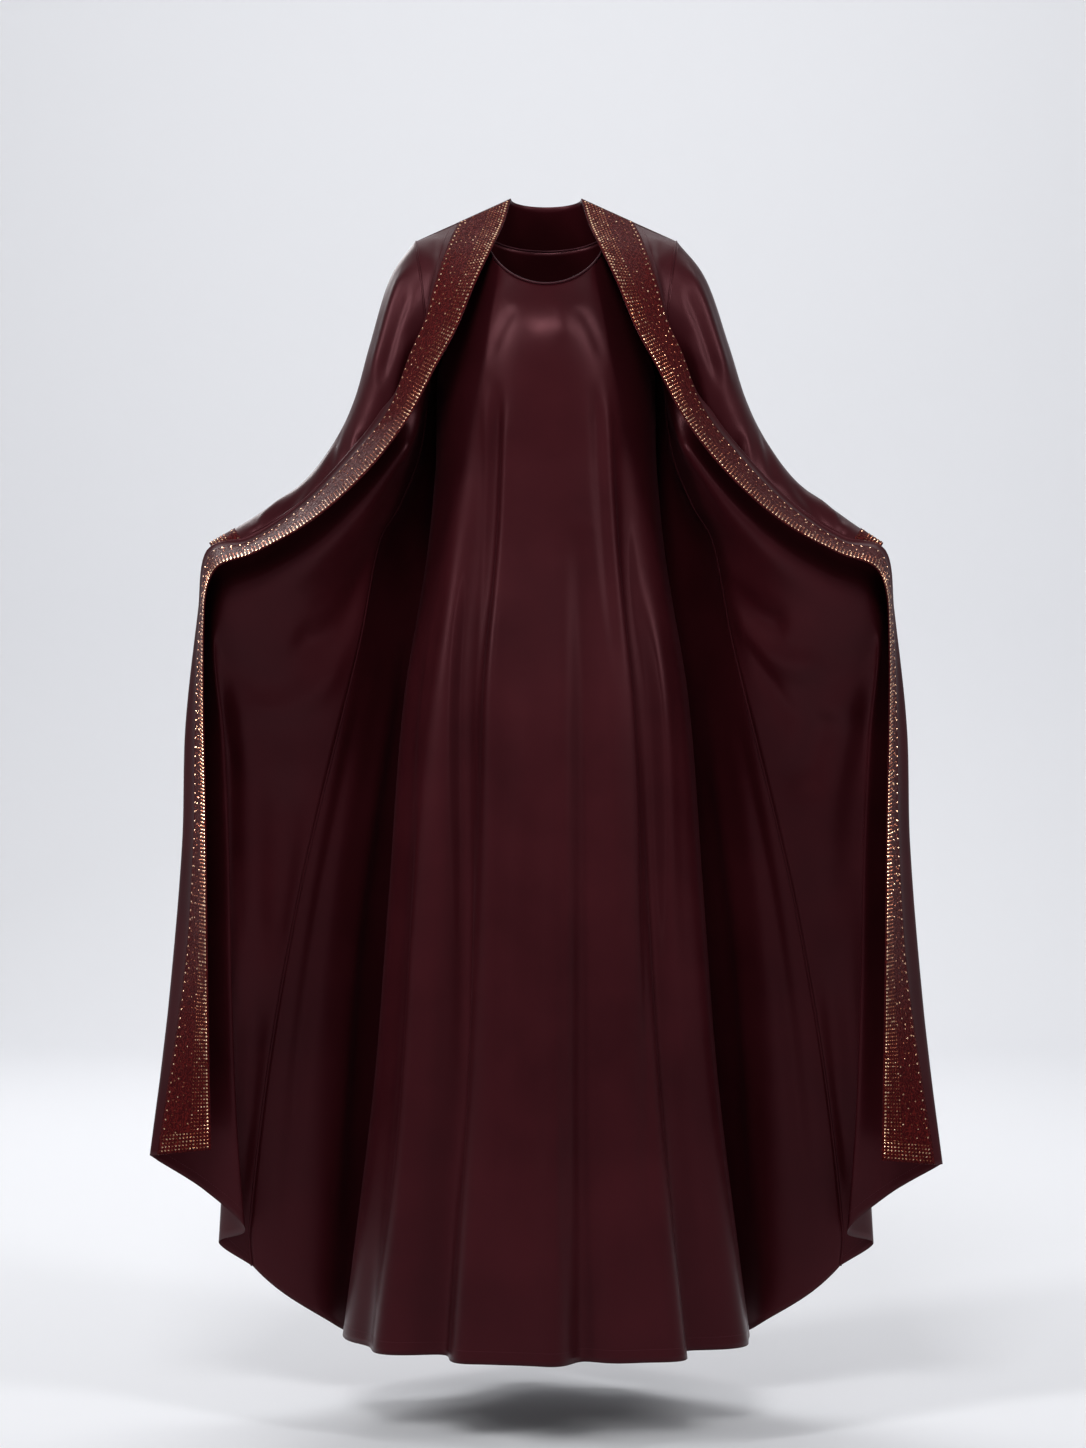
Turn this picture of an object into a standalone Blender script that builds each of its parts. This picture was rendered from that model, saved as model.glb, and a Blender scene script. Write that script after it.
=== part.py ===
"""Open satin abaya over its matching inner dress, as worn, with both front edges held out at the sides.

Metres, +Z up, front towards -Y. The origin is where the shoulders carry the neck of the garment.
Each sheet of cloth is an open grid of points, thickened by a Solidify modifier.
"""
import math

import bpy
import numpy as np

COLLECTION = "open_abaya"

# Driving dimensions
WALL = 0.0012
BAND_WALL = 0.0010
SEAM_GAP = 0.0004
CORNER_GAP = 0.0010
ARMHOLE_SEAM = 0.0011
LAID_ON_GAP = 0.0004
BAND_LIFT = 0.5 * WALL + LAID_ON_GAP + 0.5 * BAND_WALL
BAND_WIDTH = 0.074
FRONT_LENGTH = 1.414
UNDERARM_STATION = 0.310
FOLDED_STATION = 0.400
ARMHOLE_PACE = 1.25
HOLLOW_START = 0.180
UNDERARM_HOLLOW = 0.009
UNDERARM_SAG = 0.022
BACK_HALF_COLUMNS = 15
SHOULDER_COLUMNS = 7
SHOULDER_SHARE = SHOULDER_COLUMNS / BACK_HALF_COLUMNS
DRESS_UNDERARM = -0.205
DRESS_HEM = -1.420
DRESS_SHOULDER_SHARE = 0.34
DRESS_SHOULDER_TIP = (0.146, 0.005, -0.052)
DRESS_ARMHOLE_BOW = (-0.018, -0.045)
DRESS_NECK_SIDE = (0.078, 0.010, -0.020)
FRONT_NECK = {"drop": 0.083, "reach": 0.115, "fullness": 0.016}
BACK_NECK = {"drop": 0.018, "reach": 0.052, "fullness": 0.020}
BINDING_RADIUS = 0.0014
BINDING_STEPS = 14
NECK_BAND_LIFT = 0.0019
NECK_BAND_START = 0.0010
NECK_BAND_STEPS = 16
SLEEVE_SIDES = 16
SHOULDER_BLADE = 0.022
RIGHT_CORNER_DROP = 0.013
DROP_START = -0.5
DROP_SPAN = 0.7
RIGHT_ELBOW_OUT = 0.011

# Rails of a front panel. The station is the length along the front edge from the shoulder seam.
# Columns: place, station, out from the middle, back (+Y), height.
FREE_EDGE = (
    ("neck", 0.000, 0.045, 0.030, 0.026),
    ("collarbone", 0.060, 0.054, -0.015, -0.0135),
    ("upper chest", 0.120, 0.0675, -0.060, -0.050),
    ("chest", 0.190, 0.088, -0.105, -0.102),
    ("bust", 0.260, 0.1107, -0.128, -0.1614),
    ("under bust", 0.310, 0.134, -0.135, -0.205),
    ("upper arm", 0.385, 0.170, -0.140, -0.273),
    ("elbow", 0.470, 0.222, -0.145, -0.340),
    ("forearm", 0.557, 0.287, -0.150, -0.398),
    ("wrist", 0.640, 0.3575, -0.150, -0.4375),
    ("held point", 0.6925, 0.404, -0.145, -0.456),
    ("below the hand", 0.747, 0.420, -0.130, -0.506),
    ("hip", 1.030, 0.420, -0.110, -0.790),
    ("knee", 1.200, 0.4185, -0.105, -0.956),
    ("hem", 1.414, 0.415, -0.100, -1.173),
)
BAND_EDGE = (
    ("neck", 0.000, 0.111, 0.018, -0.006),
    ("collarbone", 0.060, 0.120, -0.012, -0.030),
    ("upper chest", 0.120, 0.1285, -0.046, -0.062),
    ("chest", 0.190, 0.138, -0.067, -0.098),
    ("bust", 0.260, 0.1500, -0.077, -0.142),
    ("under bust", 0.310, 0.1686, -0.078, -0.184),
    ("upper arm", 0.385, 0.195, -0.077, -0.252),
    ("elbow", 0.470, 0.243, -0.078, -0.315),
    ("forearm", 0.557, 0.304, -0.081, -0.377),
    ("wrist", 0.640, 0.370, -0.079, -0.420),
    ("held point", 0.6925, 0.418, -0.076, -0.434),
    ("below the hand", 0.747, 0.4315, -0.057, -0.500),
    ("thigh", 0.900, 0.440, -0.047, -0.650),
    ("hip", 1.030, 0.443, -0.040, -0.790),
    ("knee", 1.200, 0.4545, -0.041, -0.957),
    ("hem", 1.414, 0.484, -0.077, -1.183),
)
OUTER_FOLD = (
    ("under bust", 0.310, 0.176, -0.068, -0.180),
    ("upper arm", 0.385, 0.201, -0.066, -0.247),
    ("elbow", 0.470, 0.248, -0.066, -0.310),
    ("forearm", 0.557, 0.308, -0.071, -0.371),
    ("wrist", 0.640, 0.375, -0.069, -0.412),
    ("held point", 0.6925, 0.425, -0.060, -0.431),
    ("below the hand", 0.747, 0.4376, -0.036, -0.500),
    ("thigh", 0.900, 0.456, -0.020, -0.650),
    ("hip", 1.030, 0.461, -0.010, -0.793),
    ("knee", 1.200, 0.474, -0.010, -0.963),
    ("hem", 1.414, 0.490, -0.058, -1.190),
)
RETURN_FOLD = (
    ("under bust", 0.310, 0.162, -0.062, -0.222),
    ("upper arm", 0.385, 0.186, -0.064, -0.272),
    ("elbow", 0.470, 0.236, -0.070, -0.337),
    ("forearm", 0.557, 0.295, -0.078, -0.396),
    ("wrist", 0.640, 0.363, -0.074, -0.438),
    ("held point", 0.6925, 0.414, -0.068, -0.460),
    ("below the hand", 0.747, 0.429, -0.034, -0.514),
    ("thigh", 0.900, 0.440, -0.004, -0.657),
    ("hip", 1.030, 0.438, 0.000, -0.802),
    ("knee", 1.200, 0.438, -0.002, -0.976),
    ("hem", 1.414, 0.4346, -0.014, -1.235),
)
STRIPE_FOLD = (
    ("upper arm", 0.385, 0.172, -0.078, -0.300),
    ("elbow", 0.470, 0.221, -0.090, -0.364),
    ("forearm", 0.557, 0.281, -0.096, -0.424),
    ("wrist", 0.640, 0.349, -0.090, -0.466),
    ("held point", 0.6925, 0.400, -0.084, -0.489),
    ("below the hand", 0.747, 0.417, -0.062, -0.534),
    ("thigh", 0.900, 0.409, -0.026, -0.664),
    ("hip", 1.030, 0.402, -0.022, -0.806),
    ("knee", 1.200, 0.398, -0.020, -0.983),
    ("ankle", 1.330, 0.392, -0.014, -1.150),
    ("hem", 1.414, 0.3823, -0.003, -1.287),
)
VALLEY_FOLD = (
    ("upper arm", 0.385, 0.178, -0.050, -0.320),
    ("elbow", 0.470, 0.220, -0.062, -0.392),
    ("forearm", 0.557, 0.270, -0.066, -0.457),
    ("wrist", 0.640, 0.331, -0.062, -0.512),
    ("held point", 0.6925, 0.372, -0.055, -0.543),
    ("below the hand", 0.747, 0.396, -0.036, -0.580),
    ("thigh", 0.900, 0.403, 0.000, -0.686),
    ("hip", 1.030, 0.405, 0.014, -0.826),
    ("knee", 1.200, 0.411, 0.028, -1.005),
    ("ankle", 1.330, 0.413, 0.037, -1.180),
    ("hem", 1.414, 0.4205, 0.043, -1.312),
)
SIDE_SEAM = (
    ("underarm", 0.310, 0.148, 0.000, -0.205),
    ("ribs", 0.390, 0.160, 0.000, -0.300),
    ("waist", 0.450, 0.186, 0.000, -0.368),
    ("high hip", 0.492, 0.211, 0.000, -0.412),
    ("hip", 0.615, 0.2375, 0.004, -0.546),
    ("thigh", 0.825, 0.2925, 0.020, -0.765),
    ("knee", 0.945, 0.321, 0.030, -0.887),
    ("calf", 1.147, 0.357, 0.042, -1.088),
    ("ankle", 1.355, 0.382, 0.055, -1.296),
    ("hem", 1.414, 0.380, 0.060, -1.345),
)
# Middle of the back panel, at the same stations as the side seam.
# Columns: place, station, back, height, how straight the panel leaves the side seam.
CENTRE_BACK = (
    ("neck", 0.000, 0.068, 0.022, 0.0),
    ("underarm", 0.310, 0.130, -0.205, 0.0),
    ("waist", 0.492, 0.140, -0.425, 0.1),
    ("thigh", 0.825, 0.185, -0.805, 0.5),
    ("calf", 1.147, 0.222, -1.150, 0.8),
    ("hem", 1.414, 0.245, -1.458, 1.0),
)
# Hanging folds of the back panel. Columns: place, across (-1 left seam to 1 right seam),
# station where it starts, outward reach at the hem (metres), half width (across).
BACK_FOLDS = (
    ("left side ridge", -0.80, 0.45, -0.014, 0.13),
    ("left flute", -0.56, 0.35, 0.024, 0.14),
    ("left hollow", -0.34, 0.40, -0.016, 0.12),
    ("left back flute", -0.12, 0.30, 0.022, 0.13),
    ("right back hollow", 0.10, 0.40, -0.015, 0.12),
    ("right back flute", 0.30, 0.35, 0.023, 0.13),
    ("right flute", 0.58, 0.40, 0.022, 0.14),
    ("right side ridge", 0.79, 0.50, -0.013, 0.12),
)
# Rings of a sleeve. Columns: place, out, back and height of the centre, then out, back and height
# from the centre to the top of the arm, half depth front to back, pull of the front and back inwards.
SLEEVE_RINGS = (
    ("armhole", 0.1565, 0.003, -0.1185, 0.0085, 0.005, 0.0865, 0.058, 0.0040),
    ("shoulder cap", 0.1770, 0.002, -0.1450, 0.0215, 0.002, 0.0640, 0.057, 0.0020),
    ("upper arm", 0.1955, 0.001, -0.1950, 0.0285, 0.001, 0.0300, 0.054, 0.0),
    ("above elbow", 0.2110, 0.002, -0.2530, 0.0325, 0.000, 0.0190, 0.050, 0.0),
    ("elbow", 0.2350, 0.005, -0.3100, 0.0330, 0.000, 0.0250, 0.047, 0.0),
    ("below elbow", 0.2800, 0.002, -0.3690, 0.0270, 0.000, 0.0320, 0.044, 0.0),
    ("forearm", 0.3380, -0.010, -0.4080, 0.0240, 0.000, 0.0295, 0.040, 0.0),
    ("cuff top", 0.3700, -0.016, -0.4260, 0.0220, 0.000, 0.0280, 0.037, 0.0),
    ("cuff end", 0.4050, -0.022, -0.4440, 0.0200, 0.000, 0.0260, 0.034, 0.0),
)
# Body of the dress. Columns: place, height, half width, reach forward, reach back.
DRESS_RINGS = (
    ("underarm", -0.205, 0.138, 0.130, 0.108),
    ("under bust", -0.260, 0.139, 0.128, 0.104),
    ("ribs", -0.320, 0.140, 0.126, 0.102),
    ("waist", -0.440, 0.152, 0.130, 0.106),
    ("hip", -0.620, 0.181, 0.146, 0.116),
    ("thigh", -0.870, 0.200, 0.166, 0.130),
    ("knee", -1.100, 0.218, 0.182, 0.145),
    ("shin", -1.330, 0.246, 0.196, 0.158),
    ("hem", -1.420, 0.258, 0.200, 0.162),
)
# Flutes of the dress. Columns: place, turn at the top and at the hem (degrees from the front,
# left negative), start height, outward reach at the hem, half width (degrees).
DRESS_FRONT_FOLDS = (
    ("left side trough", -66.0, -64.0, -0.30, -0.012, 9.0),
    ("left side ridge", -50.0, -50.0, -0.34, 0.010, 9.0),
    ("left deep valley", -31.0, -35.0, -0.18, -0.040, 9.5),
    ("left panel edge", -22.0, -26.5, -0.18, 0.016, 7.0),
    ("middle ridge", 9.0, 4.5, -0.44, 0.012, 6.5),
    ("middle valley", 16.0, 10.5, -0.40, -0.026, 6.0),
    ("right panel edge", 30.0, 38.0, -0.18, 0.020, 9.0),
    ("right deep valley", 42.0, 49.0, -0.20, -0.034, 8.5),
    ("right side ridge", 64.0, 66.0, -0.30, 0.012, 9.0),
)
DRESS_BACK_FOLDS = (
    ("left back trough", -58.0, -58.0, -0.35, -0.018, 12.0),
    ("left back flute", -32.0, -34.0, -0.25, 0.016, 12.0),
    ("middle back trough", -6.0, -8.0, -0.30, -0.022, 12.0),
    ("right back flute", 24.0, 24.0, -0.25, 0.017, 12.0),
    ("right back trough", 50.0, 52.0, -0.35, -0.018, 11.0),
)

SATIN_COLOUR = (0.052, 0.012, 0.017)
BAND_COLOUR = (0.075, 0.012, 0.016)


def smooth_step(value):
    """Rise from 0 to 1 with level ends."""
    value = min(max(value, 0.0), 1.0)
    return value * value * (3.0 - 2.0 * value)


def along(table, station):
    """Values of a table's last columns at a station, on a smooth curve through its rows."""
    stations = [row[1] for row in table]
    values = np.array([row[2:] for row in table], dtype=float)
    station = min(max(station, min(stations)), max(stations))
    order = 1.0 if stations[-1] > stations[0] else -1.0
    last = len(stations) - 1
    low = 0
    while low < last - 1 and order * station > order * stations[low + 1]:
        low += 1
    span = stations[low + 1] - stations[low]
    share = (station - stations[low]) / span

    def slope(index):
        before = max(index - 1, 0)
        after = min(index + 1, last)
        return (values[after] - values[before]) / (stations[after] - stations[before])

    start_weight = 2 * share**3 - 3 * share**2 + 1
    start_slope_weight = share**3 - 2 * share**2 + share
    end_weight = 3 * share**2 - 2 * share**3
    end_slope_weight = share**3 - share**2
    return (
        start_weight * values[low]
        + start_slope_weight * span * slope(low)
        + end_weight * values[low + 1]
        + end_slope_weight * span * slope(low + 1)
    )


def through(points, positions):
    """Points at fractional positions on a smooth curve through the given points."""
    points = np.array(points, dtype=float)
    table = [("point", float(i), *point) for i, point in enumerate(points)]
    return [along(table, position) for position in positions]


def moved_out(grid, distance, closed=False):
    """The grid moved along its own normals by a distance, which may be negative."""
    grid = np.array(grid, dtype=float)
    down = np.gradient(grid, axis=0)
    if closed:
        across = np.roll(grid, -1, axis=1) - np.roll(grid, 1, axis=1)
    else:
        across = np.gradient(grid, axis=1)
    normals = np.cross(down, across)
    normals /= np.linalg.norm(normals, axis=2, keepdims=True)
    return grid + distance * normals


def mirrored(grid):
    """The grid on the other side of the middle, with its columns turned to keep the same outside."""
    grid = np.array(grid, dtype=float)
    grid[:, :, 0] *= -1.0
    return grid[:, ::-1]


def make_material(name, colour, roughness):
    material = bpy.data.materials.new(name)
    material.use_nodes = True
    shader = material.node_tree.nodes["Principled BSDF"]
    shader.inputs["Base Color"].default_value = (*colour, 1.0)
    shader.inputs["Roughness"].default_value = roughness
    shader.inputs["Metallic"].default_value = 0.0
    return material


def split_cell(grid, corners):
    """Two triangles of one cell, along its shorter diagonal, as point numbers of the grid."""
    points = [grid[corner] for corner in corners]
    numbers = [row * grid.shape[1] + column for row, column in corners]
    falling = np.linalg.norm(points[2] - points[0])
    rising = np.linalg.norm(points[3] - points[1])
    turn = 0 if falling <= rising else 1
    first, second, third, fourth = numbers[turn:] + numbers[:turn]
    return (first, second, third), (first, third, fourth)


def add_sheet(name, grid, colour, roughness=0.4, wall=WALL, closed=False):
    """One sheet of cloth from a grid of points, thickened evenly about its middle."""
    grid = np.array(grid, dtype=float)
    row_count, column_count = grid.shape[:2]
    span = column_count if closed else column_count - 1
    faces = []
    for row in range(row_count - 1):
        for column in range(span):
            after = (column + 1) % column_count
            corners = ((row, column), (row + 1, column), (row + 1, after), (row, after))
            faces.extend(split_cell(grid, corners))
    mesh = bpy.data.meshes.new(name)
    mesh.from_pydata([tuple(point) for point in grid.reshape(-1, 3)], [], faces)
    mesh.materials.append(make_material(name + "_cloth", colour, roughness))
    mesh.shade_smooth()
    sheet = bpy.data.objects.new(name, mesh)
    bpy.data.collections[COLLECTION].objects.link(sheet)
    thickness = sheet.modifiers.new("cloth wall", "SOLIDIFY")
    thickness.thickness = wall
    thickness.offset = 0.0
    return sheet


def sleeve_point(row, turn):
    """Point of a sleeve's ring (out positive), from its top (0) by the front to its underside (180)."""
    _, out, back, height, top_out, top_back, top_up, depth, pull = row
    angle = math.radians(turn)
    return np.array((
        out + top_out * math.cos(angle) - pull * math.sin(angle) ** 2,
        back + top_back * math.cos(angle) - depth * math.sin(angle),
        height + top_up * math.cos(angle),
    ))


def armhole(turn):
    return sleeve_point(SLEEVE_RINGS[0], turn)


def panel_boundary(station, facing):
    """Armhole and side seam as one line; facing is 1 for the front panel and -1 for the back."""
    if station < UNDERARM_STATION:
        return armhole(facing * 180.0 * (station / UNDERARM_STATION) ** ARMHOLE_PACE)
    return along(SIDE_SEAM, station)


def front_rails(station):
    """The lines that a front panel runs through at one station, from free edge to side seam."""
    edge = along(FREE_EDGE, station)
    boundary = panel_boundary(station, 1)
    band = along(BAND_EDGE, station)
    tables = (OUTER_FOLD, RETURN_FOLD, STRIPE_FOLD, VALLEY_FOLD)
    folded = smooth_step((station - UNDERARM_STATION) / (FOLDED_STATION - UNDERARM_STATION))
    rails = [edge, band]
    for index, table in enumerate(tables):
        share = (index + 1) / (len(tables) + 1)
        even = band + (boundary - band) * share
        hollowed = smooth_step((station - HOLLOW_START) / (UNDERARM_STATION - HOLLOW_START))
        bow = math.sin(math.pi * share) * hollowed
        even -= np.array((UNDERARM_HOLLOW, 0.0, UNDERARM_SAG)) * bow
        rails.append(even + (along(table, station) - even) * folded)
    rails.append(boundary)
    return rails


# Where the columns of a front panel lie, counted in rails from the free edge to the side seam.
FRONT_COLUMNS = (0.0, 0.5, 1.0, 2.0, 2.5, 3.0, 3.5, 3.85, 4.15, 4.5, 5.0, 5.35, 5.7, 6.0)
BAND_COLUMNS = 3
FRONT_STATIONS = (
    0.0, 0.045, 0.09, 0.135, 0.18, 0.225, 0.27, 0.31, 0.35, 0.395, 0.44, 0.50, 0.56,
    0.61, 0.655, 0.69, 0.72, 0.76, 0.84, 0.94, 1.05, 1.16, 1.26, 1.34, 1.414,
)


def front_grid():
    """Left front panel with out positive, rows from the shoulder seam down to the hem."""
    rows = []
    for station in FRONT_STATIONS:
        row = through(front_rails(station), FRONT_COLUMNS)
        gap = CORNER_GAP if station < UNDERARM_STATION else SEAM_GAP
        inward = row[-2] - row[-1]
        row[-1] = row[-1] + inward / np.linalg.norm(inward) * gap
        rows.append(row)
    grid = np.array(rows)
    down = grid[1] - grid[0]
    grid[0] += down / np.linalg.norm(down, axis=1, keepdims=True) * CORNER_GAP
    return grid


def on_side(grid, side):
    """A grid with out positive placed on its own side, the right one with a lower front corner."""
    grid = np.array(grid, dtype=float)
    if side == "left":
        return mirrored(grid)
    column_count = grid.shape[1]
    for row in grid:
        share = smooth_step((DROP_START - row[0][2]) / DROP_SPAN)
        for column in range(column_count):
            row[column][2] -= RIGHT_CORNER_DROP * share * smooth_step(1.0 - column / (column_count - 1))
    return grid


def back_top(across):
    """Left half of the back panel's top line: shoulder seam, then back neck. across is 0 to 1."""
    tip = armhole(0.0)
    neck_side = along(FREE_EDGE, 0.0)
    middle = along(CENTRE_BACK, 0.0)
    if across < SHOULDER_SHARE:
        return tip + (neck_side - tip) * across / SHOULDER_SHARE
    turn = (across - SHOULDER_SHARE) / (1.0 - SHOULDER_SHARE) * math.pi / 2
    return np.array((
        neck_side[0] * math.cos(turn),
        neck_side[1] + (middle[0] - neck_side[1]) * math.sin(turn),
        neck_side[2] + (middle[1] - neck_side[2]) * math.sin(turn),
    ))


def back_ring(across, station):
    """Left half of the back panel below the underarm, before its folds."""
    side = along(SIDE_SEAM, station)
    middle_back, middle_height, straight = along(CENTRE_BACK, station)
    turn = across * math.pi / 2
    rise = math.sin(math.pi / 2 * across ** (1.0 + straight))
    out = side[0] * ((1.0 - straight) * math.cos(turn) + straight * (1.0 - across))
    drop = 1.0 - (1.0 - across) ** 4
    return np.array((
        out,
        side[1] + (middle_back - side[1]) * rise,
        side[2] + (middle_height - side[2]) * drop,
    ))


def back_point(across, station):
    """Point of the abaya's back, from the left seam (-1) to the right one (1)."""
    side = 1.0 if across >= 0.0 else -1.0
    inner = 1.0 - abs(across)
    if station >= UNDERARM_STATION:
        point = back_ring(inner, station)
    else:
        share = station / UNDERARM_STATION
        top = back_top(inner)
        low = back_ring(inner, UNDERARM_STATION)
        edge_error = panel_boundary(station, -1) - (
            back_top(0.0) * (1.0 - share) + back_ring(0.0, UNDERARM_STATION) * share
        )
        point = top * (1.0 - share) + low * share + edge_error * (1.0 - inner) ** 2
        point[1] += SHOULDER_BLADE * math.sin(math.pi * share) * math.sin(math.pi / 2 * inner) ** 0.7
    point[0] *= side
    outward = np.array((point[0], point[1] + 0.02, 0.0))
    outward /= np.linalg.norm(outward)
    for _, place, start, reach, half_width in BACK_FOLDS:
        opened = smooth_step((station - start) / (FRONT_LENGTH - start)) if station > start else 0.0
        distance = (across - place) / half_width
        point += outward * reach * opened * math.exp(-distance * distance)
    return point


BACK_COLUMNS = 2 * BACK_HALF_COLUMNS
BACK_STATIONS = (
    0.0, 0.04, 0.10, 0.16, 0.22, 0.27, 0.31, 0.39, 0.48, 0.58, 0.69, 0.80, 0.92, 1.05, 1.18, 1.30, 1.414,
)


def back_grid():
    rows = []
    for station in BACK_STATIONS:
        row = [back_point(-1.0 + 2.0 * i / BACK_COLUMNS, station) for i in range(BACK_COLUMNS + 1)]
        gap = CORNER_GAP if station < UNDERARM_STATION else SEAM_GAP
        for end, inside in ((0, 1), (-1, -2)):
            inward = row[inside] - row[end]
            row[end] = row[end] + inward / np.linalg.norm(inward) * gap
        rows.append(row)
    grid = np.array(rows)
    down = grid[1] - grid[0]
    grid[0] += down / np.linalg.norm(down, axis=1, keepdims=True) * CORNER_GAP
    return grid


def neck_band_grid():
    """Band round the back of the neck, laid on the back panel between the two shoulder seams."""
    seam_length = np.linalg.norm(armhole(0.0) - along(FREE_EDGE, 0.0))
    outer_share = SHOULDER_SHARE * (1.0 - BAND_WIDTH / seam_length)
    rows = []
    for j in range(BAND_COLUMNS):
        row = []
        for i in range(NECK_BAND_STEPS + 1):
            along_neck = -1.0 + 2.0 * i / NECK_BAND_STEPS
            side = 1.0 if along_neck >= 0.0 else -1.0
            inner = 1.0 - abs(along_neck)
            upper_inner = SHOULDER_SHARE + (1.0 - SHOULDER_SHARE) * inner
            lower_inner = outer_share + (1.0 - outer_share) * inner
            width = j / (BAND_COLUMNS - 1)
            place = upper_inner + (lower_inner - upper_inner) * width
            station = BAND_WIDTH * math.sin(math.pi / 2 * inner) * width
            row.append(back_point(side * (1.0 - place), station + NECK_BAND_START))
        rows.append(row)
    return rows


def sleeve_grid():
    """Sleeve with out positive, rings from the armhole to the wrist."""
    turns = [360.0 * i / SLEEVE_SIDES for i in range(SLEEVE_SIDES)]
    grid = np.array([[sleeve_point(row, turn) for turn in turns] for row in SLEEVE_RINGS])
    grid[0, :, 0] += ARMHOLE_SEAM
    return grid


def dress_ring(turn, height):
    """Point of the dress below the underarm; turn in degrees from the front, 180 at the back."""
    half_width, forward, backward = along(DRESS_RINGS, height)
    angle = math.radians(turn)
    reach = forward if math.cos(angle) > 0.0 else backward
    return np.array((half_width * math.sin(angle), -reach * math.cos(angle), height))


def dress_folds(point, turn, height, folds):
    """The point moved in or out by the flutes that open towards the hem."""
    outward = np.array((point[0], point[1], 0.0))
    outward /= np.linalg.norm(outward)
    for _, top_turn, hem_turn, start, reach, half_width in folds:
        if height >= start:
            continue
        share = (height - start) / (DRESS_HEM - start)
        place = top_turn + (hem_turn - top_turn) * share
        distance = (turn - place) / half_width
        point = point + outward * reach * share**0.75 * math.exp(-distance * distance)
    return point


def dress_armhole(share, facing):
    """Left armhole of the dress (out positive), from the shoulder tip (0) to the underarm (1)."""
    tip = np.array(DRESS_SHOULDER_TIP)
    low = np.array((along(DRESS_RINGS, DRESS_UNDERARM)[0], 0.0, DRESS_UNDERARM))
    bow_out, bow_back = DRESS_ARMHOLE_BOW
    bow = np.array((bow_out, bow_back * facing, 0.0)) * math.sin(math.pi * share)
    return tip * (1.0 - share) + low * share + bow


def dress_top(inner, facing):
    """Left half of the dress's top line (out positive): shoulder seam, then neckline."""
    tip = dress_armhole(0.0, facing)
    neck_side = np.array(DRESS_NECK_SIDE)
    if inner < DRESS_SHOULDER_SHARE:
        return tip + (neck_side - tip) * inner / DRESS_SHOULDER_SHARE
    turn = (inner - DRESS_SHOULDER_SHARE) / (1.0 - DRESS_SHOULDER_SHARE) * math.pi / 2
    neck = FRONT_NECK if facing > 0 else BACK_NECK
    return np.array((
        neck_side[0] * math.cos(turn),
        neck_side[1] - facing * neck["reach"] * math.sin(turn),
        neck_side[2] - neck["drop"] * math.sin(turn) ** 1.1,
    ))


def dress_point(across, level, facing):
    """Point of a dress panel. level is 0 at the top, 1 at the underarm and 2 at the hem."""
    side = 1.0 if across >= 0.0 else -1.0
    inner = 1.0 - abs(across)
    if level >= 1.0:
        height = DRESS_UNDERARM + (DRESS_HEM - DRESS_UNDERARM) * (level - 1.0)
        turn = 90.0 * abs(across)
        point = dress_ring(turn if facing > 0 else 180.0 - turn, height)
        point[0] *= side
        folds = DRESS_FRONT_FOLDS if facing > 0 else DRESS_BACK_FOLDS
        return dress_folds(point, side * turn, height, folds)
    top = dress_top(inner, facing)
    turn = 90.0 * abs(across)
    low = dress_ring(turn if facing > 0 else 180.0 - turn, DRESS_UNDERARM)
    edge_error = dress_armhole(level, facing) - (
        dress_armhole(0.0, facing) * (1.0 - level) + dress_armhole(1.0, facing) * level
    )
    point = top * (1.0 - level) + low * level + edge_error * (1.0 - inner) ** 2
    fullness = (FRONT_NECK if facing > 0 else BACK_NECK)["fullness"]
    point[1] -= facing * fullness * math.sin(math.pi * level) * math.sin(math.pi / 2 * inner) ** 0.7
    point[0] *= side
    return point


DRESS_LEVELS = (
    0.0, 0.25, 0.5, 0.75, 1.0, 1.05, 1.11, 1.18, 1.26, 1.35, 1.45, 1.55, 1.65, 1.75, 1.84, 1.92, 2.0,
)


DRESS_FRONT_COLUMNS = 34
DRESS_BACK_COLUMNS = 20


def dress_grid(facing, column_count):
    rows = []
    for level in DRESS_LEVELS:
        row = [dress_point(-1.0 + 2.0 * i / column_count, level, facing) for i in range(column_count + 1)]
        gap = CORNER_GAP if level < 1.0 else SEAM_GAP
        for end, inside in ((0, 1), (-1, -2)):
            inward = row[inside] - row[end]
            row[end] = row[end] + inward / np.linalg.norm(inward) * gap
        rows.append(row)
    grid = np.array(rows)
    down = grid[1] - grid[0]
    grid[0] += down / np.linalg.norm(down, axis=1, keepdims=True) * CORNER_GAP
    if facing > 0:
        grid = grid[:, ::-1]
    return grid


def add_neck_binding():
    """Narrow rolled edge that closes round the dress's neckline, just above the cloth."""
    lift = 0.5 * WALL + LAID_ON_GAP + BINDING_RADIUS
    points = []
    for facing in (1, -1):
        for i in range(BINDING_STEPS):
            across = facing * (-1.0 + 2.0 * i / BINDING_STEPS)
            side = 1.0 if across >= 0.0 else -1.0
            inner = DRESS_SHOULDER_SHARE + (1.0 - DRESS_SHOULDER_SHARE) * (1.0 - abs(across))
            point = dress_top(inner, facing)
            points.append((side * point[0], point[1], point[2] + lift))
    curve = bpy.data.curves.new("dress_neck_binding", "CURVE")
    curve.dimensions = "3D"
    spline = curve.splines.new("POLY")
    spline.points.add(len(points) - 1)
    for target, point in zip(spline.points, points):
        target.co = (*point, 1.0)
    spline.use_cyclic_u = True
    curve.bevel_depth = BINDING_RADIUS
    curve.bevel_resolution = 1
    curve.materials.append(make_material("dress_neck_binding_cloth", SATIN_COLOUR, 0.4))
    binding = bpy.data.objects.new("dress_neck_binding", curve)
    bpy.data.collections[COLLECTION].objects.link(binding)


def add_front(side):
    panel = front_grid()
    band = moved_out(panel, BAND_LIFT)[:, :BAND_COLUMNS]
    add_sheet("abaya_front_" + side, on_side(panel, side), SATIN_COLOUR)
    add_sheet("front_band_" + side, on_side(band, side), BAND_COLOUR, wall=BAND_WALL)


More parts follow.
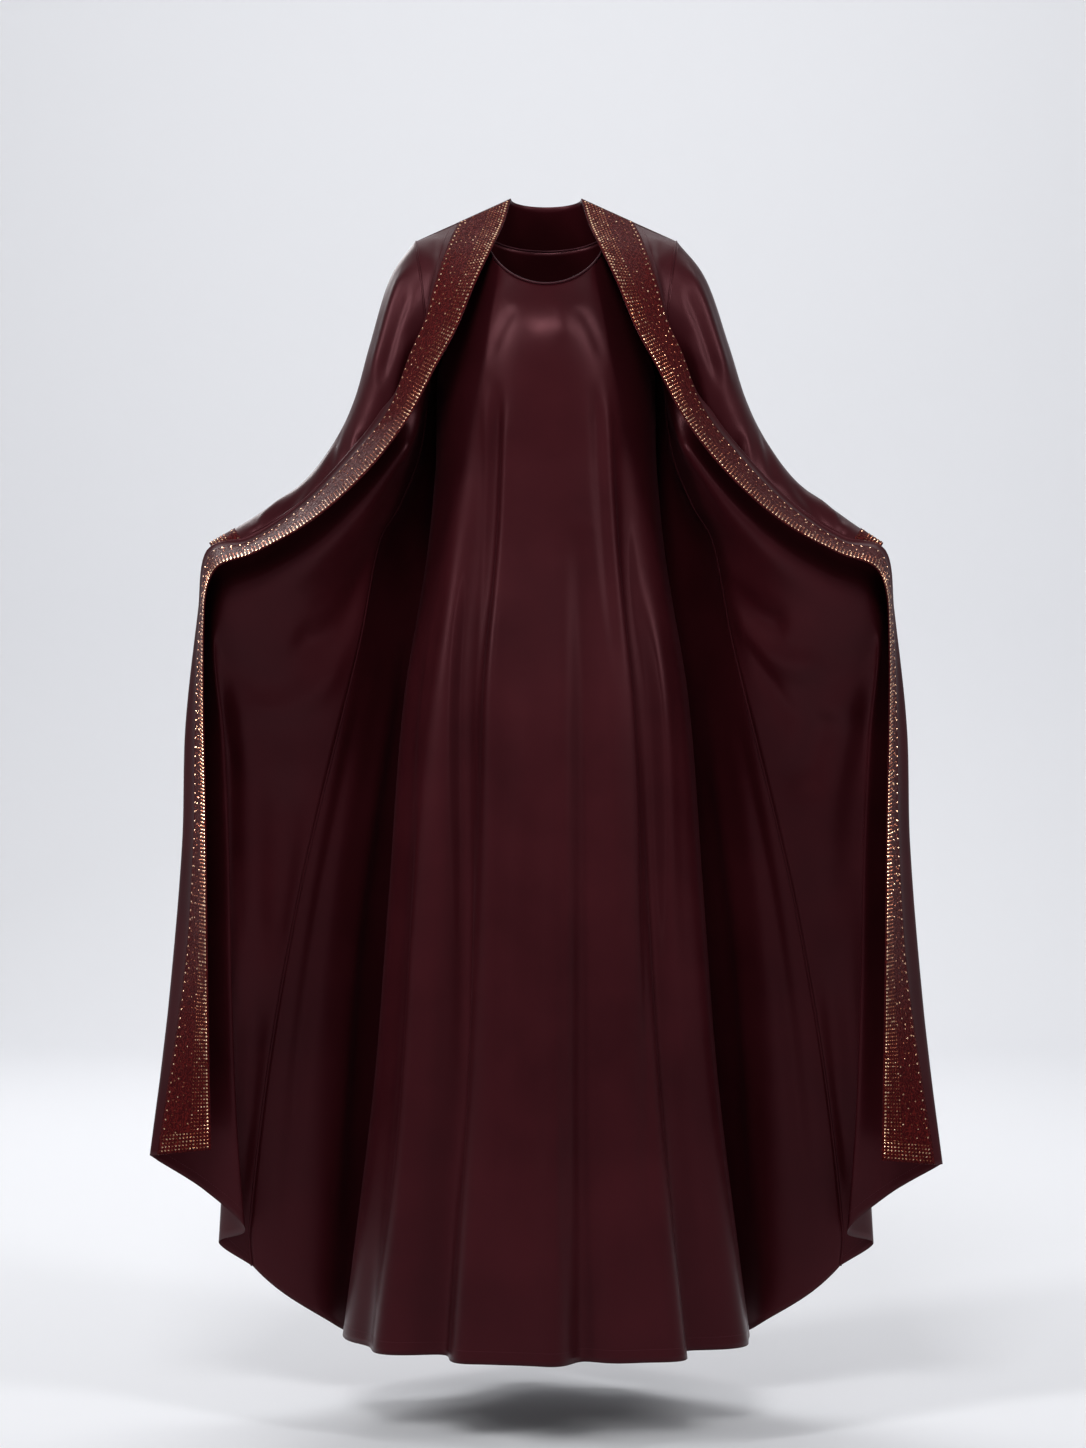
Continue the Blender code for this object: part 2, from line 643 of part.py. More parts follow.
def add_sleeve(side):
    sleeve = sleeve_grid()
    if side == "right":
        arm_shares = np.linspace(0.0, 1.0, len(SLEEVE_RINGS))
        sleeve[:, :, 0] += RIGHT_ELBOW_OUT * np.sin(math.pi * arm_shares)[:, None]
    # The normals of these rings point into the sleeve, so the cuff band lies at a negative distance.
    cuff = moved_out(sleeve, -BAND_LIFT, closed=True)[-2:]
    if side == "left":
        sleeve = mirrored(sleeve)
        cuff = mirrored(cuff)
    add_sheet("sleeve_" + side, sleeve, SATIN_COLOUR, closed=True)
    add_sheet("cuff_band_" + side, cuff, BAND_COLOUR, wall=BAND_WALL, closed=True)


def build():
    for old in list(bpy.data.objects):
        bpy.data.objects.remove(old)
    collection = bpy.data.collections.new(COLLECTION)
    bpy.context.scene.collection.children.link(collection)
    add_sheet("dress_front", dress_grid(1, DRESS_FRONT_COLUMNS), SATIN_COLOUR)
    add_sheet("dress_back", dress_grid(-1, DRESS_BACK_COLUMNS), SATIN_COLOUR)
    add_neck_binding()
    add_sheet("abaya_back", back_grid(), SATIN_COLOUR)
    # The normals of the back panel point to the front, and the neck band lies on its outside.
    neck_band = moved_out(neck_band_grid(), -NECK_BAND_LIFT)
    add_sheet("neck_band", neck_band, BAND_COLOUR, wall=BAND_WALL)
    for side in ("left", "right"):
        add_front(side)
        add_sleeve(side)


build()
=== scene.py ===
# %% [markdown]
# An open abaya over its matching dress
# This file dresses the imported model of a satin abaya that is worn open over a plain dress.
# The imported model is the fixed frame: it says where every panel is. The cells below make the same
# panels again as thin cloth, with a fine mesh, soft creases, seams, studs and real fabric finishes.

# %% Load the frame
import math

import bpy
import numpy as np
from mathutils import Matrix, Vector


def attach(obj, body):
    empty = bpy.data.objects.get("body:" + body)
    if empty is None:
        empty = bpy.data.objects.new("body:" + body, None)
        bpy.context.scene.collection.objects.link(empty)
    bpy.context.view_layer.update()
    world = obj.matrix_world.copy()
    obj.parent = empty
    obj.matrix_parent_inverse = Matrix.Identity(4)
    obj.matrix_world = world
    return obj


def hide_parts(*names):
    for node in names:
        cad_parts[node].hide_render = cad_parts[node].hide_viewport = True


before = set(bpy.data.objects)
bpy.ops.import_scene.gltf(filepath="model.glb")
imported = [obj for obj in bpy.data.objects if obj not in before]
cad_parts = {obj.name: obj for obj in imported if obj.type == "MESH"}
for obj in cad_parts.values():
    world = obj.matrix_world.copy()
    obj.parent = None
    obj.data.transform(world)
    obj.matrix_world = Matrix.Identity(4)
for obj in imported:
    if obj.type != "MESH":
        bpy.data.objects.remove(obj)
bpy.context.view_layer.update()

print("panels in the frame:", sorted(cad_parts))

# %% [markdown]
# The place where the picture is taken from
# The garment is seen square from the front, from hip height, so that the hem corners stay in
# proportion. A long lens far away flattens depth, as a product picture does.

# %% Camera
CAMERA_PLACE = (-0.004, -3.9, -0.646)
LENS_MM = 76.3
FILM_MM = 36.0

eye = bpy.data.cameras.new("picture_camera")
eye.lens = LENS_MM
eye.sensor_fit = "VERTICAL"
eye.sensor_height = FILM_MM
camera = bpy.data.objects.new("picture_camera", eye)
camera.location = CAMERA_PLACE
camera.rotation_euler = (math.radians(90.0), 0.0, 0.0)
bpy.context.scene.collection.objects.link(camera)
bpy.context.scene.camera = camera
print("camera stands", abs(CAMERA_PLACE[1]), "m in front")

# %% [markdown]
# Floor, backdrop and light
# The floor is one pale sheet that curves up far behind the garment, so no horizon line shows. A soft
# light faces the cloth from the front and above, with a narrow beam, so that the hem stays darker than
# the chest. Two tall, narrow lights at the sides draw the long folds, because the shine of satin is a
# blurred picture of its lights. The last three light the back, the backdrop and the floor.

# %% Floor and backdrop
FLOOR_HEIGHT = -1.530
SWEEP_HALF_WIDTH = 6.0
SWEEP_FRONT = -4.5
SWEEP_BACK = 5.6
SWEEP_RADIUS = 1.2
SWEEP_TOP = 4.0
SWEEP_STEPS = 12
PALE_GREY = (0.85, 0.857, 0.885, 1.0)


def plain_material(name, colour, roughness):
    material = bpy.data.materials.new(name)
    material.use_nodes = True
    shader = material.node_tree.nodes["Principled BSDF"]
    shader.inputs["Base Color"].default_value = colour
    shader.inputs["Roughness"].default_value = roughness
    return material


def grid_faces(row_count, column_count, closed=False):
    """Four-sided faces of a grid whose points are listed row by row."""
    span = column_count if closed else column_count - 1
    rows, columns = np.meshgrid(np.arange(row_count - 1), np.arange(span), indexing="ij")
    after = (columns + 1) % column_count
    near = rows * column_count
    far = near + column_count
    return np.stack((near + columns, far + columns, far + after, near + after), axis=-1).reshape(-1, 4)


def mesh_object(name, points, faces, smooth=True):
    mesh = bpy.data.meshes.new(name)
    mesh.from_pydata([tuple(p) for p in points], [], [tuple(int(i) for i in f) for f in faces])
    if smooth:
        mesh.shade_smooth()
    piece = bpy.data.objects.new(name, mesh)
    bpy.context.scene.collection.objects.link(piece)
    return piece


profile = [(SWEEP_FRONT, FLOOR_HEIGHT), (SWEEP_BACK - SWEEP_RADIUS, FLOOR_HEIGHT)]
for step in range(1, SWEEP_STEPS + 1):
    turn = math.radians(90.0 * step / SWEEP_STEPS)
    profile.append((
        SWEEP_BACK - SWEEP_RADIUS + SWEEP_RADIUS * math.sin(turn),
        FLOOR_HEIGHT + SWEEP_RADIUS * (1.0 - math.cos(turn)),
    ))
profile.append((SWEEP_BACK, SWEEP_TOP))
sweep_points = [(x, y, z) for y, z in profile for x in (-SWEEP_HALF_WIDTH, SWEEP_HALF_WIDTH)]
floor = mesh_object("studio_sweep", sweep_points, grid_faces(len(profile), 2))
floor.data.materials.append(plain_material("sweep_paper", PALE_GREY, 0.95))
print("floor lies at", FLOOR_HEIGHT, "m")

# %% Lights
# Columns: name, place, aimed at, width, height, power in watts, spread of the beam in degrees.
SOFT_LIGHTS = (
    ("front_light", (-0.5, -4.0, 2.3), (0.0, 0.0, 0.05), 1.4, 1.0, 13.0, 60.0),
    ("right_light", (2.5, -2.0, 1.2), (0.0, 0.0, -0.2), 0.4, 1.8, 17.0, 120.0),
    ("left_light", (-2.7, -1.8, 1.3), (0.0, 0.0, -0.2), 0.4, 1.8, 24.0, 120.0),
    ("back_light", (-1.6, 3.6, 1.6), (0.0, 0.0, -0.6), 1.6, 1.2, 30.0, 180.0),
    ("backdrop_light", (0.0, 2.6, 3.2), (0.0, 5.6, -0.4), 6.0, 0.8, 90.0, 180.0),
    ("floor_light", (0.0, 1.6, 2.8), (0.0, 1.2, -1.53), 5.0, 1.6, 30.0, 180.0),
)
AIR_STRENGTH = 0.36

for name, place, aim, width, height, power, spread in SOFT_LIGHTS:
    lamp = bpy.data.lights.new(name, "AREA")
    lamp.shape = "RECTANGLE"
    lamp.size = width
    lamp.size_y = height
    lamp.energy = power
    lamp.spread = math.radians(spread)
    light = bpy.data.objects.new(name, lamp)
    light.location = place
    light.rotation_euler = (Vector(aim) - Vector(place)).to_track_quat("-Z", "Y").to_euler()
    bpy.context.scene.collection.objects.link(light)
world = bpy.data.worlds.new("studio_air")
world.use_nodes = True
air = world.node_tree.nodes["Background"]
air.inputs["Color"].default_value = PALE_GREY
air.inputs["Strength"].default_value = AIR_STRENGTH
bpy.context.scene.world = world
bpy.context.scene.view_settings.view_transform = "Standard"
print("soft lights:", len(SOFT_LIGHTS))

# %% [markdown]
# Lines that the cloth hangs from
# A garment is not drawn point by point. A few lines run down each panel: its free edge, the inner
# edge of its band, the tops of its folds and its seam. Each table below gives one such line by a
# handful of places, and a smooth curve through them gives every point between.

# %% Tables of the front panel
# A station is the length along the front edge from the shoulder seam.
# Columns: place, station, out from the middle, back (+Y), height.
FRONT_LENGTH = 1.414
UNDERARM_STATION = 0.310
FOLDED_STATION = 0.400
FREE_EDGE = (
    ("neck", 0.000, 0.045, 0.030, 0.026),
    ("collarbone", 0.060, 0.054, -0.015, -0.0135),
    ("upper chest", 0.120, 0.0675, -0.060, -0.050),
    ("chest", 0.190, 0.088, -0.105, -0.102),
    ("bust", 0.260, 0.1107, -0.128, -0.1614),
    ("under bust", 0.310, 0.134, -0.135, -0.205),
    ("upper arm", 0.385, 0.170, -0.140, -0.273),
    ("elbow", 0.470, 0.222, -0.145, -0.340),
    ("forearm", 0.557, 0.287, -0.150, -0.398),
    ("wrist", 0.640, 0.3575, -0.150, -0.4375),
    ("held point", 0.6925, 0.404, -0.145, -0.456),
    ("below the hand", 0.747, 0.420, -0.130, -0.506),
    ("hip", 1.030, 0.420, -0.110, -0.790),
    ("knee", 1.200, 0.4185, -0.105, -0.956),
    ("hem", 1.414, 0.415, -0.100, -1.173),
)
BAND_EDGE = (
    ("neck", 0.000, 0.111, 0.018, -0.006),
    ("collarbone", 0.060, 0.120, -0.012, -0.030),
    ("upper chest", 0.120, 0.1285, -0.046, -0.062),
    ("chest", 0.190, 0.138, -0.067, -0.098),
    ("bust", 0.260, 0.1500, -0.077, -0.142),
    ("under bust", 0.310, 0.1686, -0.078, -0.184),
    ("upper arm", 0.385, 0.195, -0.077, -0.252),
    ("elbow", 0.470, 0.243, -0.078, -0.315),
    ("forearm", 0.557, 0.304, -0.081, -0.377),
    ("wrist", 0.640, 0.370, -0.079, -0.420),
    ("held point", 0.6925, 0.418, -0.076, -0.434),
    ("below the hand", 0.747, 0.4315, -0.057, -0.500),
    ("thigh", 0.900, 0.440, -0.047, -0.650),
    ("hip", 1.030, 0.443, -0.040, -0.790),
    ("knee", 1.200, 0.4545, -0.041, -0.957),
    ("hem", 1.414, 0.484, -0.077, -1.183),
)
OUTER_FOLD = (
    ("under bust", 0.310, 0.176, -0.068, -0.180),
    ("upper arm", 0.385, 0.201, -0.066, -0.247),
    ("elbow", 0.470, 0.248, -0.066, -0.310),
    ("forearm", 0.557, 0.308, -0.071, -0.371),
    ("wrist", 0.640, 0.375, -0.069, -0.412),
    ("held point", 0.6925, 0.425, -0.060, -0.431),
    ("below the hand", 0.747, 0.4376, -0.036, -0.500),
    ("thigh", 0.900, 0.456, -0.020, -0.650),
    ("hip", 1.030, 0.461, -0.010, -0.793),
    ("knee", 1.200, 0.474, -0.010, -0.963),
    ("hem", 1.414, 0.490, -0.058, -1.190),
)
RETURN_FOLD = (
    ("under bust", 0.310, 0.162, -0.062, -0.222),
    ("upper arm", 0.385, 0.186, -0.064, -0.272),
    ("elbow", 0.470, 0.236, -0.070, -0.337),
    ("forearm", 0.557, 0.295, -0.078, -0.396),
    ("wrist", 0.640, 0.363, -0.074, -0.438),
    ("held point", 0.6925, 0.414, -0.068, -0.460),
    ("below the hand", 0.747, 0.429, -0.034, -0.514),
    ("thigh", 0.900, 0.440, -0.004, -0.657),
    ("hip", 1.030, 0.438, 0.000, -0.802),
    ("knee", 1.200, 0.438, -0.002, -0.976),
    ("hem", 1.414, 0.4346, -0.014, -1.235),
)
STRIPE_FOLD = (
    ("upper arm", 0.385, 0.172, -0.078, -0.300),
    ("elbow", 0.470, 0.221, -0.090, -0.364),
    ("forearm", 0.557, 0.281, -0.096, -0.424),
    ("wrist", 0.640, 0.349, -0.090, -0.466),
    ("held point", 0.6925, 0.400, -0.084, -0.489),
    ("below the hand", 0.747, 0.417, -0.062, -0.534),
    ("thigh", 0.900, 0.409, -0.026, -0.664),
    ("hip", 1.030, 0.402, -0.022, -0.806),
    ("knee", 1.200, 0.398, -0.020, -0.983),
    ("ankle", 1.330, 0.392, -0.014, -1.150),
    ("hem", 1.414, 0.3823, -0.003, -1.287),
)
VALLEY_FOLD = (
    ("upper arm", 0.385, 0.178, -0.050, -0.320),
    ("elbow", 0.470, 0.220, -0.062, -0.392),
    ("forearm", 0.557, 0.270, -0.066, -0.457),
    ("wrist", 0.640, 0.331, -0.062, -0.512),
    ("held point", 0.6925, 0.372, -0.055, -0.543),
    ("below the hand", 0.747, 0.396, -0.036, -0.580),
    ("thigh", 0.900, 0.403, 0.000, -0.686),
    ("hip", 1.030, 0.405, 0.014, -0.826),
    ("knee", 1.200, 0.411, 0.028, -1.005),
    ("ankle", 1.330, 0.413, 0.037, -1.180),
    ("hem", 1.414, 0.4205, 0.043, -1.312),
)
SIDE_SEAM = (
    ("underarm", 0.310, 0.148, 0.000, -0.205),
    ("ribs", 0.390, 0.160, 0.000, -0.300),
    ("waist", 0.450, 0.186, 0.000, -0.368),
    ("high hip", 0.492, 0.211, 0.000, -0.412),
    ("hip", 0.615, 0.2375, 0.004, -0.546),
    ("thigh", 0.825, 0.2925, 0.020, -0.765),
    ("knee", 0.945, 0.321, 0.030, -0.887),
    ("calf", 1.147, 0.357, 0.042, -1.088),
    ("ankle", 1.355, 0.382, 0.055, -1.296),
    ("hem", 1.414, 0.380, 0.060, -1.345),
)
print("lines of the front panel: 7")

# %% Tables of the back, the sleeve and the dress
# Middle of the back panel. Columns: place, station, back, height, how straight it leaves the seam.
CENTRE_BACK = (
    ("neck", 0.000, 0.068, 0.022, 0.0),
    ("underarm", 0.310, 0.130, -0.205, 0.0),
    ("waist", 0.492, 0.140, -0.425, 0.1),
    ("thigh", 0.825, 0.185, -0.805, 0.5),
    ("calf", 1.147, 0.222, -1.150, 0.8),
    ("hem", 1.414, 0.245, -1.458, 1.0),
)
# Columns: place, across (-1 left seam to 1 right seam), station where it starts, outward reach at
# the hem (metres), half width (across).
BACK_FOLDS = (
    ("left side ridge", -0.80, 0.45, -0.014, 0.13),
    ("left flute", -0.56, 0.35, 0.024, 0.14),
    ("left hollow", -0.34, 0.40, -0.016, 0.12),
    ("left back flute", -0.12, 0.30, 0.022, 0.13),
    ("right back hollow", 0.10, 0.40, -0.015, 0.12),
    ("right back flute", 0.30, 0.35, 0.023, 0.13),
    ("right flute", 0.58, 0.40, 0.022, 0.14),
    ("right side ridge", 0.79, 0.50, -0.013, 0.12),
)
# Rings of a sleeve. Columns: place, out, back and height of the centre, then out, back and height
# from the centre to the top of the arm, half depth front to back, pull of the front and back inwards.
SLEEVE_RINGS = (
    ("armhole", 0.1565, 0.003, -0.1185, 0.0085, 0.005, 0.0865, 0.058, 0.0040),
    ("shoulder cap", 0.1770, 0.002, -0.1450, 0.0215, 0.002, 0.0640, 0.057, 0.0020),
    ("upper arm", 0.1955, 0.001, -0.1950, 0.0285, 0.001, 0.0300, 0.054, 0.0),
    ("above elbow", 0.2110, 0.002, -0.2530, 0.0325, 0.000, 0.0190, 0.050, 0.0),
    ("elbow", 0.2350, 0.005, -0.3100, 0.0330, 0.000, 0.0250, 0.047, 0.0),
    ("below elbow", 0.2800, 0.002, -0.3690, 0.0270, 0.000, 0.0320, 0.044, 0.0),
    ("forearm", 0.3380, -0.010, -0.4080, 0.0240, 0.000, 0.0295, 0.040, 0.0),
    ("cuff top", 0.3700, -0.016, -0.4260, 0.0220, 0.000, 0.0280, 0.037, 0.0),
    ("cuff end", 0.4050, -0.022, -0.4440, 0.0200, 0.000, 0.0260, 0.034, 0.0),
)
# Body of the dress. Columns: place, height, half width, reach forward, reach back.
DRESS_RINGS = (
    ("underarm", -0.205, 0.138, 0.130, 0.108),
    ("under bust", -0.260, 0.139, 0.128, 0.104),
    ("ribs", -0.320, 0.140, 0.126, 0.102),
    ("waist", -0.440, 0.152, 0.130, 0.106),
    ("hip", -0.620, 0.181, 0.146, 0.116),
    ("thigh", -0.870, 0.200, 0.166, 0.130),
    ("knee", -1.100, 0.218, 0.182, 0.145),
    ("shin", -1.330, 0.246, 0.196, 0.158),
    ("hem", -1.420, 0.258, 0.200, 0.162),
)
# Flutes of the dress. Columns: place, turn at the top and at the hem (degrees from the front,
# left negative), start height, outward reach at the hem, half width (degrees).
DRESS_FRONT_FOLDS = (
    ("left side trough", -66.0, -64.0, -0.30, -0.012, 9.0),
    ("left side ridge", -50.0, -50.0, -0.34, 0.010, 9.0),
    ("left deep valley", -31.0, -35.0, -0.18, -0.040, 9.5),
    ("left panel edge", -22.0, -26.5, -0.18, 0.016, 7.0),
    ("middle ridge", 9.0, 4.5, -0.44, 0.012, 6.5),
    ("middle valley", 16.0, 10.5, -0.40, -0.026, 6.0),
    ("right panel edge", 30.0, 38.0, -0.18, 0.020, 9.0),
    ("right deep valley", 42.0, 49.0, -0.20, -0.034, 8.5),
    ("right side ridge", 64.0, 66.0, -0.30, 0.012, 9.0),
)
DRESS_BACK_FOLDS = (
    ("left back trough", -58.0, -58.0, -0.35, -0.018, 12.0),
    ("left back flute", -32.0, -34.0, -0.25, 0.016, 12.0),
    ("middle back trough", -6.0, -8.0, -0.30, -0.022, 12.0),
    ("right back flute", 24.0, 24.0, -0.25, 0.017, 12.0),
    ("right back trough", 50.0, 52.0, -0.35, -0.018, 11.0),
)
print("rings of a sleeve:", len(SLEEVE_RINGS), "and of the dress:", len(DRESS_RINGS))

# %% [markdown]
# Smooth curves through a few places
# A cubic curve that keeps the mean slope at each place bends like a drawn line and never kinks.
# The same helper reads every table above, so the cloth follows the frame without any fitting.

# %% Curve helpers
ARMHOLE_PACE = 1.25
HOLLOW_START = 0.180
UNDERARM_HOLLOW = 0.009
UNDERARM_SAG = 0.022


def smooth_step(value):
    """Rise from 0 to 1 with level ends."""
    value = np.clip(value, 0.0, 1.0)
    return value * value * (3.0 - 2.0 * value)


def curve_values(stations, values, station):
    """Values at a station on a smooth curve through rows of values."""
    order = 1.0 if stations[-1] > stations[0] else -1.0
    station = min(max(station, min(stations)), max(stations))
    last = len(stations) - 1
    low = 0
    while low < last - 1 and order * station > order * stations[low + 1]:
        low += 1
    span = stations[low + 1] - stations[low]
    share = (station - stations[low]) / span

    def slope(index):
        before = max(index - 1, 0)
        after = min(index + 1, last)
        return (values[after] - values[before]) / (stations[after] - stations[before])

    return (
        (2 * share**3 - 3 * share**2 + 1) * values[low]
        + (share**3 - 2 * share**2 + share) * span * slope(low)
        + (3 * share**2 - 2 * share**3) * values[low + 1]
        + (share**3 - share**2) * span * slope(low + 1)
    )


TABLE_VALUES = {}


def along(table, station):
    """Values of a table's last columns at a station, on a smooth curve through its rows."""
    key = id(table)
    if key not in TABLE_VALUES:
        TABLE_VALUES[key] = ([row[1] for row in table], np.array([row[2:] for row in table], dtype=float))
    stations, values = TABLE_VALUES[key]
    return curve_values(stations, values, station)


def through(points, positions):
    """Points at fractional positions on a smooth curve through the given points."""
    points = np.array(points, dtype=float)
    numbers = [float(i) for i in range(len(points))]
    return [curve_values(numbers, points, position) for position in positions]


def sleeve_point(row, turn):
    """Point of a sleeve's ring (out positive), from its top (0) by the front to its underside (180)."""
    out, back, height, top_out, top_back, top_up, depth, pull = row
    angle = math.radians(turn)
    return np.array((
        out + top_out * math.cos(angle) - pull * math.sin(angle) ** 2,
        back + top_back * math.cos(angle) - depth * math.sin(angle),
        height + top_up * math.cos(angle),
    ))


def armhole(turn):
    return sleeve_point(SLEEVE_RINGS[0][1:], turn)


def panel_boundary(station, facing):
    """Armhole and side seam as one line; facing is 1 for the front panel and -1 for the back."""
    if station < UNDERARM_STATION:
        return armhole(facing * 180.0 * (station / UNDERARM_STATION) ** ARMHOLE_PACE)
    return along(SIDE_SEAM, station)


print("middle of the band at the hand:", np.round(along(BAND_EDGE, 0.6925), 3))

# %% [markdown]
# From a table of lines to a panel
# At each station the panel runs across its lines in order. Above the underarm it is smooth and lies
# over the chest, and below it the lines part into hanging folds. A fine grid of points then gives
# the cloth enough mesh for soft creases.

# %% Front panel
def front_rails(station):
    """The lines that a front panel runs through at one station, from free edge to side seam."""
    edge = along(FREE_EDGE, station)
    boundary = panel_boundary(station, 1)
    band = along(BAND_EDGE, station)
    tables = (OUTER_FOLD, RETURN_FOLD, STRIPE_FOLD, VALLEY_FOLD)
    folded = smooth_step((station - UNDERARM_STATION) / (FOLDED_STATION - UNDERARM_STATION))
    hollowed = smooth_step((station - HOLLOW_START) / (UNDERARM_STATION - HOLLOW_START))
    rails = [edge, band]
    for index, table in enumerate(tables):
        share = (index + 1) / (len(tables) + 1)
        even = band + (boundary - band) * share
        bow = math.sin(math.pi * share) * hollowed
        even -= np.array((UNDERARM_HOLLOW, 0.0, UNDERARM_SAG)) * bow
        rails.append(even + (along(table, station) - even) * folded)
    rails.append(boundary)
    return rails


# How many steps the panel takes between one line and the next, from the free edge to the seam.
STEPS_BETWEEN_RAILS = (14, 8, 10, 10, 10, 22)
FRONT_ROWS = 236
front_columns = [0.0]
for rail, steps in enumerate(STEPS_BETWEEN_RAILS):
    front_columns += [rail + (step + 1) / steps for step in range(steps)]
front_columns = np.array(front_columns)
front_stations = np.linspace(0.0, FRONT_LENGTH, FRONT_ROWS)
front_surface = np.array([through(front_rails(s), front_columns) for s in front_stations])
print("front panel grid:", front_surface.shape)

# %% [markdown]
# The back panel
# Above the underarm the back blends from the shoulder seams and neck to a half ring. Below it the
# half ring opens into the wide hem, and each hanging fold grows from nothing to its full reach.

# %% Back panel
BACK_HALF_COLUMNS = 15
SHOULDER_SHARE = 7 / BACK_HALF_COLUMNS
SHOULDER_BLADE = 0.022
BACK_ROWS = 150
BACK_COLUMNS = 180


def back_top(across):
    """Left half of the back panel's top line: shoulder seam, then back neck. across is 0 to 1."""
    tip = armhole(0.0)
    neck_side = along(FREE_EDGE, 0.0)
    middle = along(CENTRE_BACK, 0.0)
    if across < SHOULDER_SHARE:
        return tip + (neck_side - tip) * across / SHOULDER_SHARE
    turn = (across - SHOULDER_SHARE) / (1.0 - SHOULDER_SHARE) * math.pi / 2
    return np.array((
        neck_side[0] * math.cos(turn),
        neck_side[1] + (middle[0] - neck_side[1]) * math.sin(turn),
        neck_side[2] + (middle[1] - neck_side[2]) * math.sin(turn),
    ))


def back_ring(across, station):
    """Left half of the back panel below the underarm, before its folds."""
    side = along(SIDE_SEAM, station)
    middle_back, middle_height, straight = along(CENTRE_BACK, station)
    turn = across * math.pi / 2
    rise = math.sin(math.pi / 2 * across ** (1.0 + straight))
    drop = 1.0 - (1.0 - across) ** 4
    return np.array((
        side[0] * ((1.0 - straight) * math.cos(turn) + straight * (1.0 - across)),
        side[1] + (middle_back - side[1]) * rise,
        side[2] + (middle_height - side[2]) * drop,
    ))


def back_point(across, station):
    """Point of the abaya's back, from the left seam (-1) to the right one (1)."""
    side = 1.0 if across >= 0.0 else -1.0
    inner = 1.0 - abs(across)
    if station >= UNDERARM_STATION:
        point = back_ring(inner, station)
    else:
        share = station / UNDERARM_STATION
        edge_error = panel_boundary(station, -1) - (
            back_top(0.0) * (1.0 - share) + back_ring(0.0, UNDERARM_STATION) * share
        )
        point = back_top(inner) * (1.0 - share) + back_ring(inner, UNDERARM_STATION) * share
        point += edge_error * (1.0 - inner) ** 2
        point[1] += SHOULDER_BLADE * math.sin(math.pi * share) * math.sin(math.pi / 2 * inner) ** 0.7
    point[0] *= side
    outward = np.array((point[0], point[1] + 0.02, 0.0))
    outward /= np.linalg.norm(outward)
    for _, place, start, reach, half_width in BACK_FOLDS:
        if station > start:
            opened = smooth_step((station - start) / (FRONT_LENGTH - start))
            distance = (across - place) / half_width
            point += outward * reach * opened * math.exp(-distance * distance)
    return point


back_across = np.linspace(-1.0, 1.0, BACK_COLUMNS + 1)
back_stations = np.linspace(0.0, FRONT_LENGTH, BACK_ROWS)
back_surface = np.array([[back_point(a, s) for a in back_across] for s in back_stations])
print("back panel grid:", back_surface.shape)

# %% [markdown]
# The sleeves
# A sleeve is a stack of slanted rings from the armhole to the wrist, joined by a smooth curve. The
# right elbow stands out a little more than the left one, so the right rings are shifted.

# %% Sleeves
SLEEVE_SIDES = 72
SLEEVE_ROWS = 110
RIGHT_ELBOW_OUT = 0.011
ARMHOLE_SEAM = 0.0011

ring_values = np.array([row[1:] for row in SLEEVE_RINGS])
ring_positions = np.linspace(0.0, len(SLEEVE_RINGS) - 1.0, SLEEVE_ROWS)
sleeve_turns = np.linspace(0.0, 360.0, SLEEVE_SIDES, endpoint=False)
sleeve_surface = np.array([
    [sleeve_point(row, turn) for turn in sleeve_turns] for row in through(ring_values, ring_positions)
])
sleeve_surface[:, :, 0] += ARMHOLE_SEAM * np.clip(1.0 - ring_positions, 0.0, 1.0)[:, None]
elbow_shift = RIGHT_ELBOW_OUT * np.sin(math.pi * ring_positions / (len(SLEEVE_RINGS) - 1))
print("sleeve grid:", sleeve_surface.shape)

# %% [markdown]
# The dress
# The dress is cut wide and hangs from the bust. Its rings grow towards the hem, and the flutes in
# the tables turn and deepen on the way down, which is what a flared skirt does under its own weight.

# %% Dress
DRESS_SHOULDER_SHARE = 0.34
DRESS_SHOULDER_TIP = (0.146, 0.005, -0.052)
DRESS_ARMHOLE_BOW = (-0.018, -0.045)
DRESS_NECK_SIDE = (0.078, 0.010, -0.020)
FRONT_NECK = {"drop": 0.083, "reach": 0.115, "fullness": 0.016}
BACK_NECK = {"drop": 0.018, "reach": 0.052, "fullness": 0.020}
DRESS_UNDERARM = -0.205
DRESS_HEM = -1.420
DRESS_ROWS = 190
YOKE_ROWS = 34
DRESS_FRONT_COLUMNS = 220
DRESS_BACK_COLUMNS = 120


def dress_ring(turn, height):
    """Point of the dress below the underarm; turn in degrees from the front, 180 at the back."""
    half_width, forward, backward = along(DRESS_RINGS, height)
    angle = math.radians(turn)
    reach = forward if math.cos(angle) > 0.0 else backward
    return np.array((half_width * math.sin(angle), -reach * math.cos(angle), height))


def dress_folds(point, turn, height, folds):
    """The point moved in or out by the flutes that open towards the hem."""
    outward = np.array((point[0], point[1], 0.0))
    outward /= np.linalg.norm(outward)
    for _, top_turn, hem_turn, start, reach, half_width in folds:
        if height < start:
            share = (height - start) / (DRESS_HEM - start)
            distance = (turn - top_turn - (hem_turn - top_turn) * share) / half_width
            point = point + outward * reach * share**0.75 * math.exp(-distance * distance)
    return point


def dress_armhole(share, facing):
    """Left armhole of the dress (out positive), from the shoulder tip (0) to the underarm (1)."""
    tip = np.array(DRESS_SHOULDER_TIP)
    low = np.array((along(DRESS_RINGS, DRESS_UNDERARM)[0], 0.0, DRESS_UNDERARM))
    bow_out, bow_back = DRESS_ARMHOLE_BOW
    bow = np.array((bow_out, bow_back * facing, 0.0)) * math.sin(math.pi * share)
    return tip * (1.0 - share) + low * share + bow


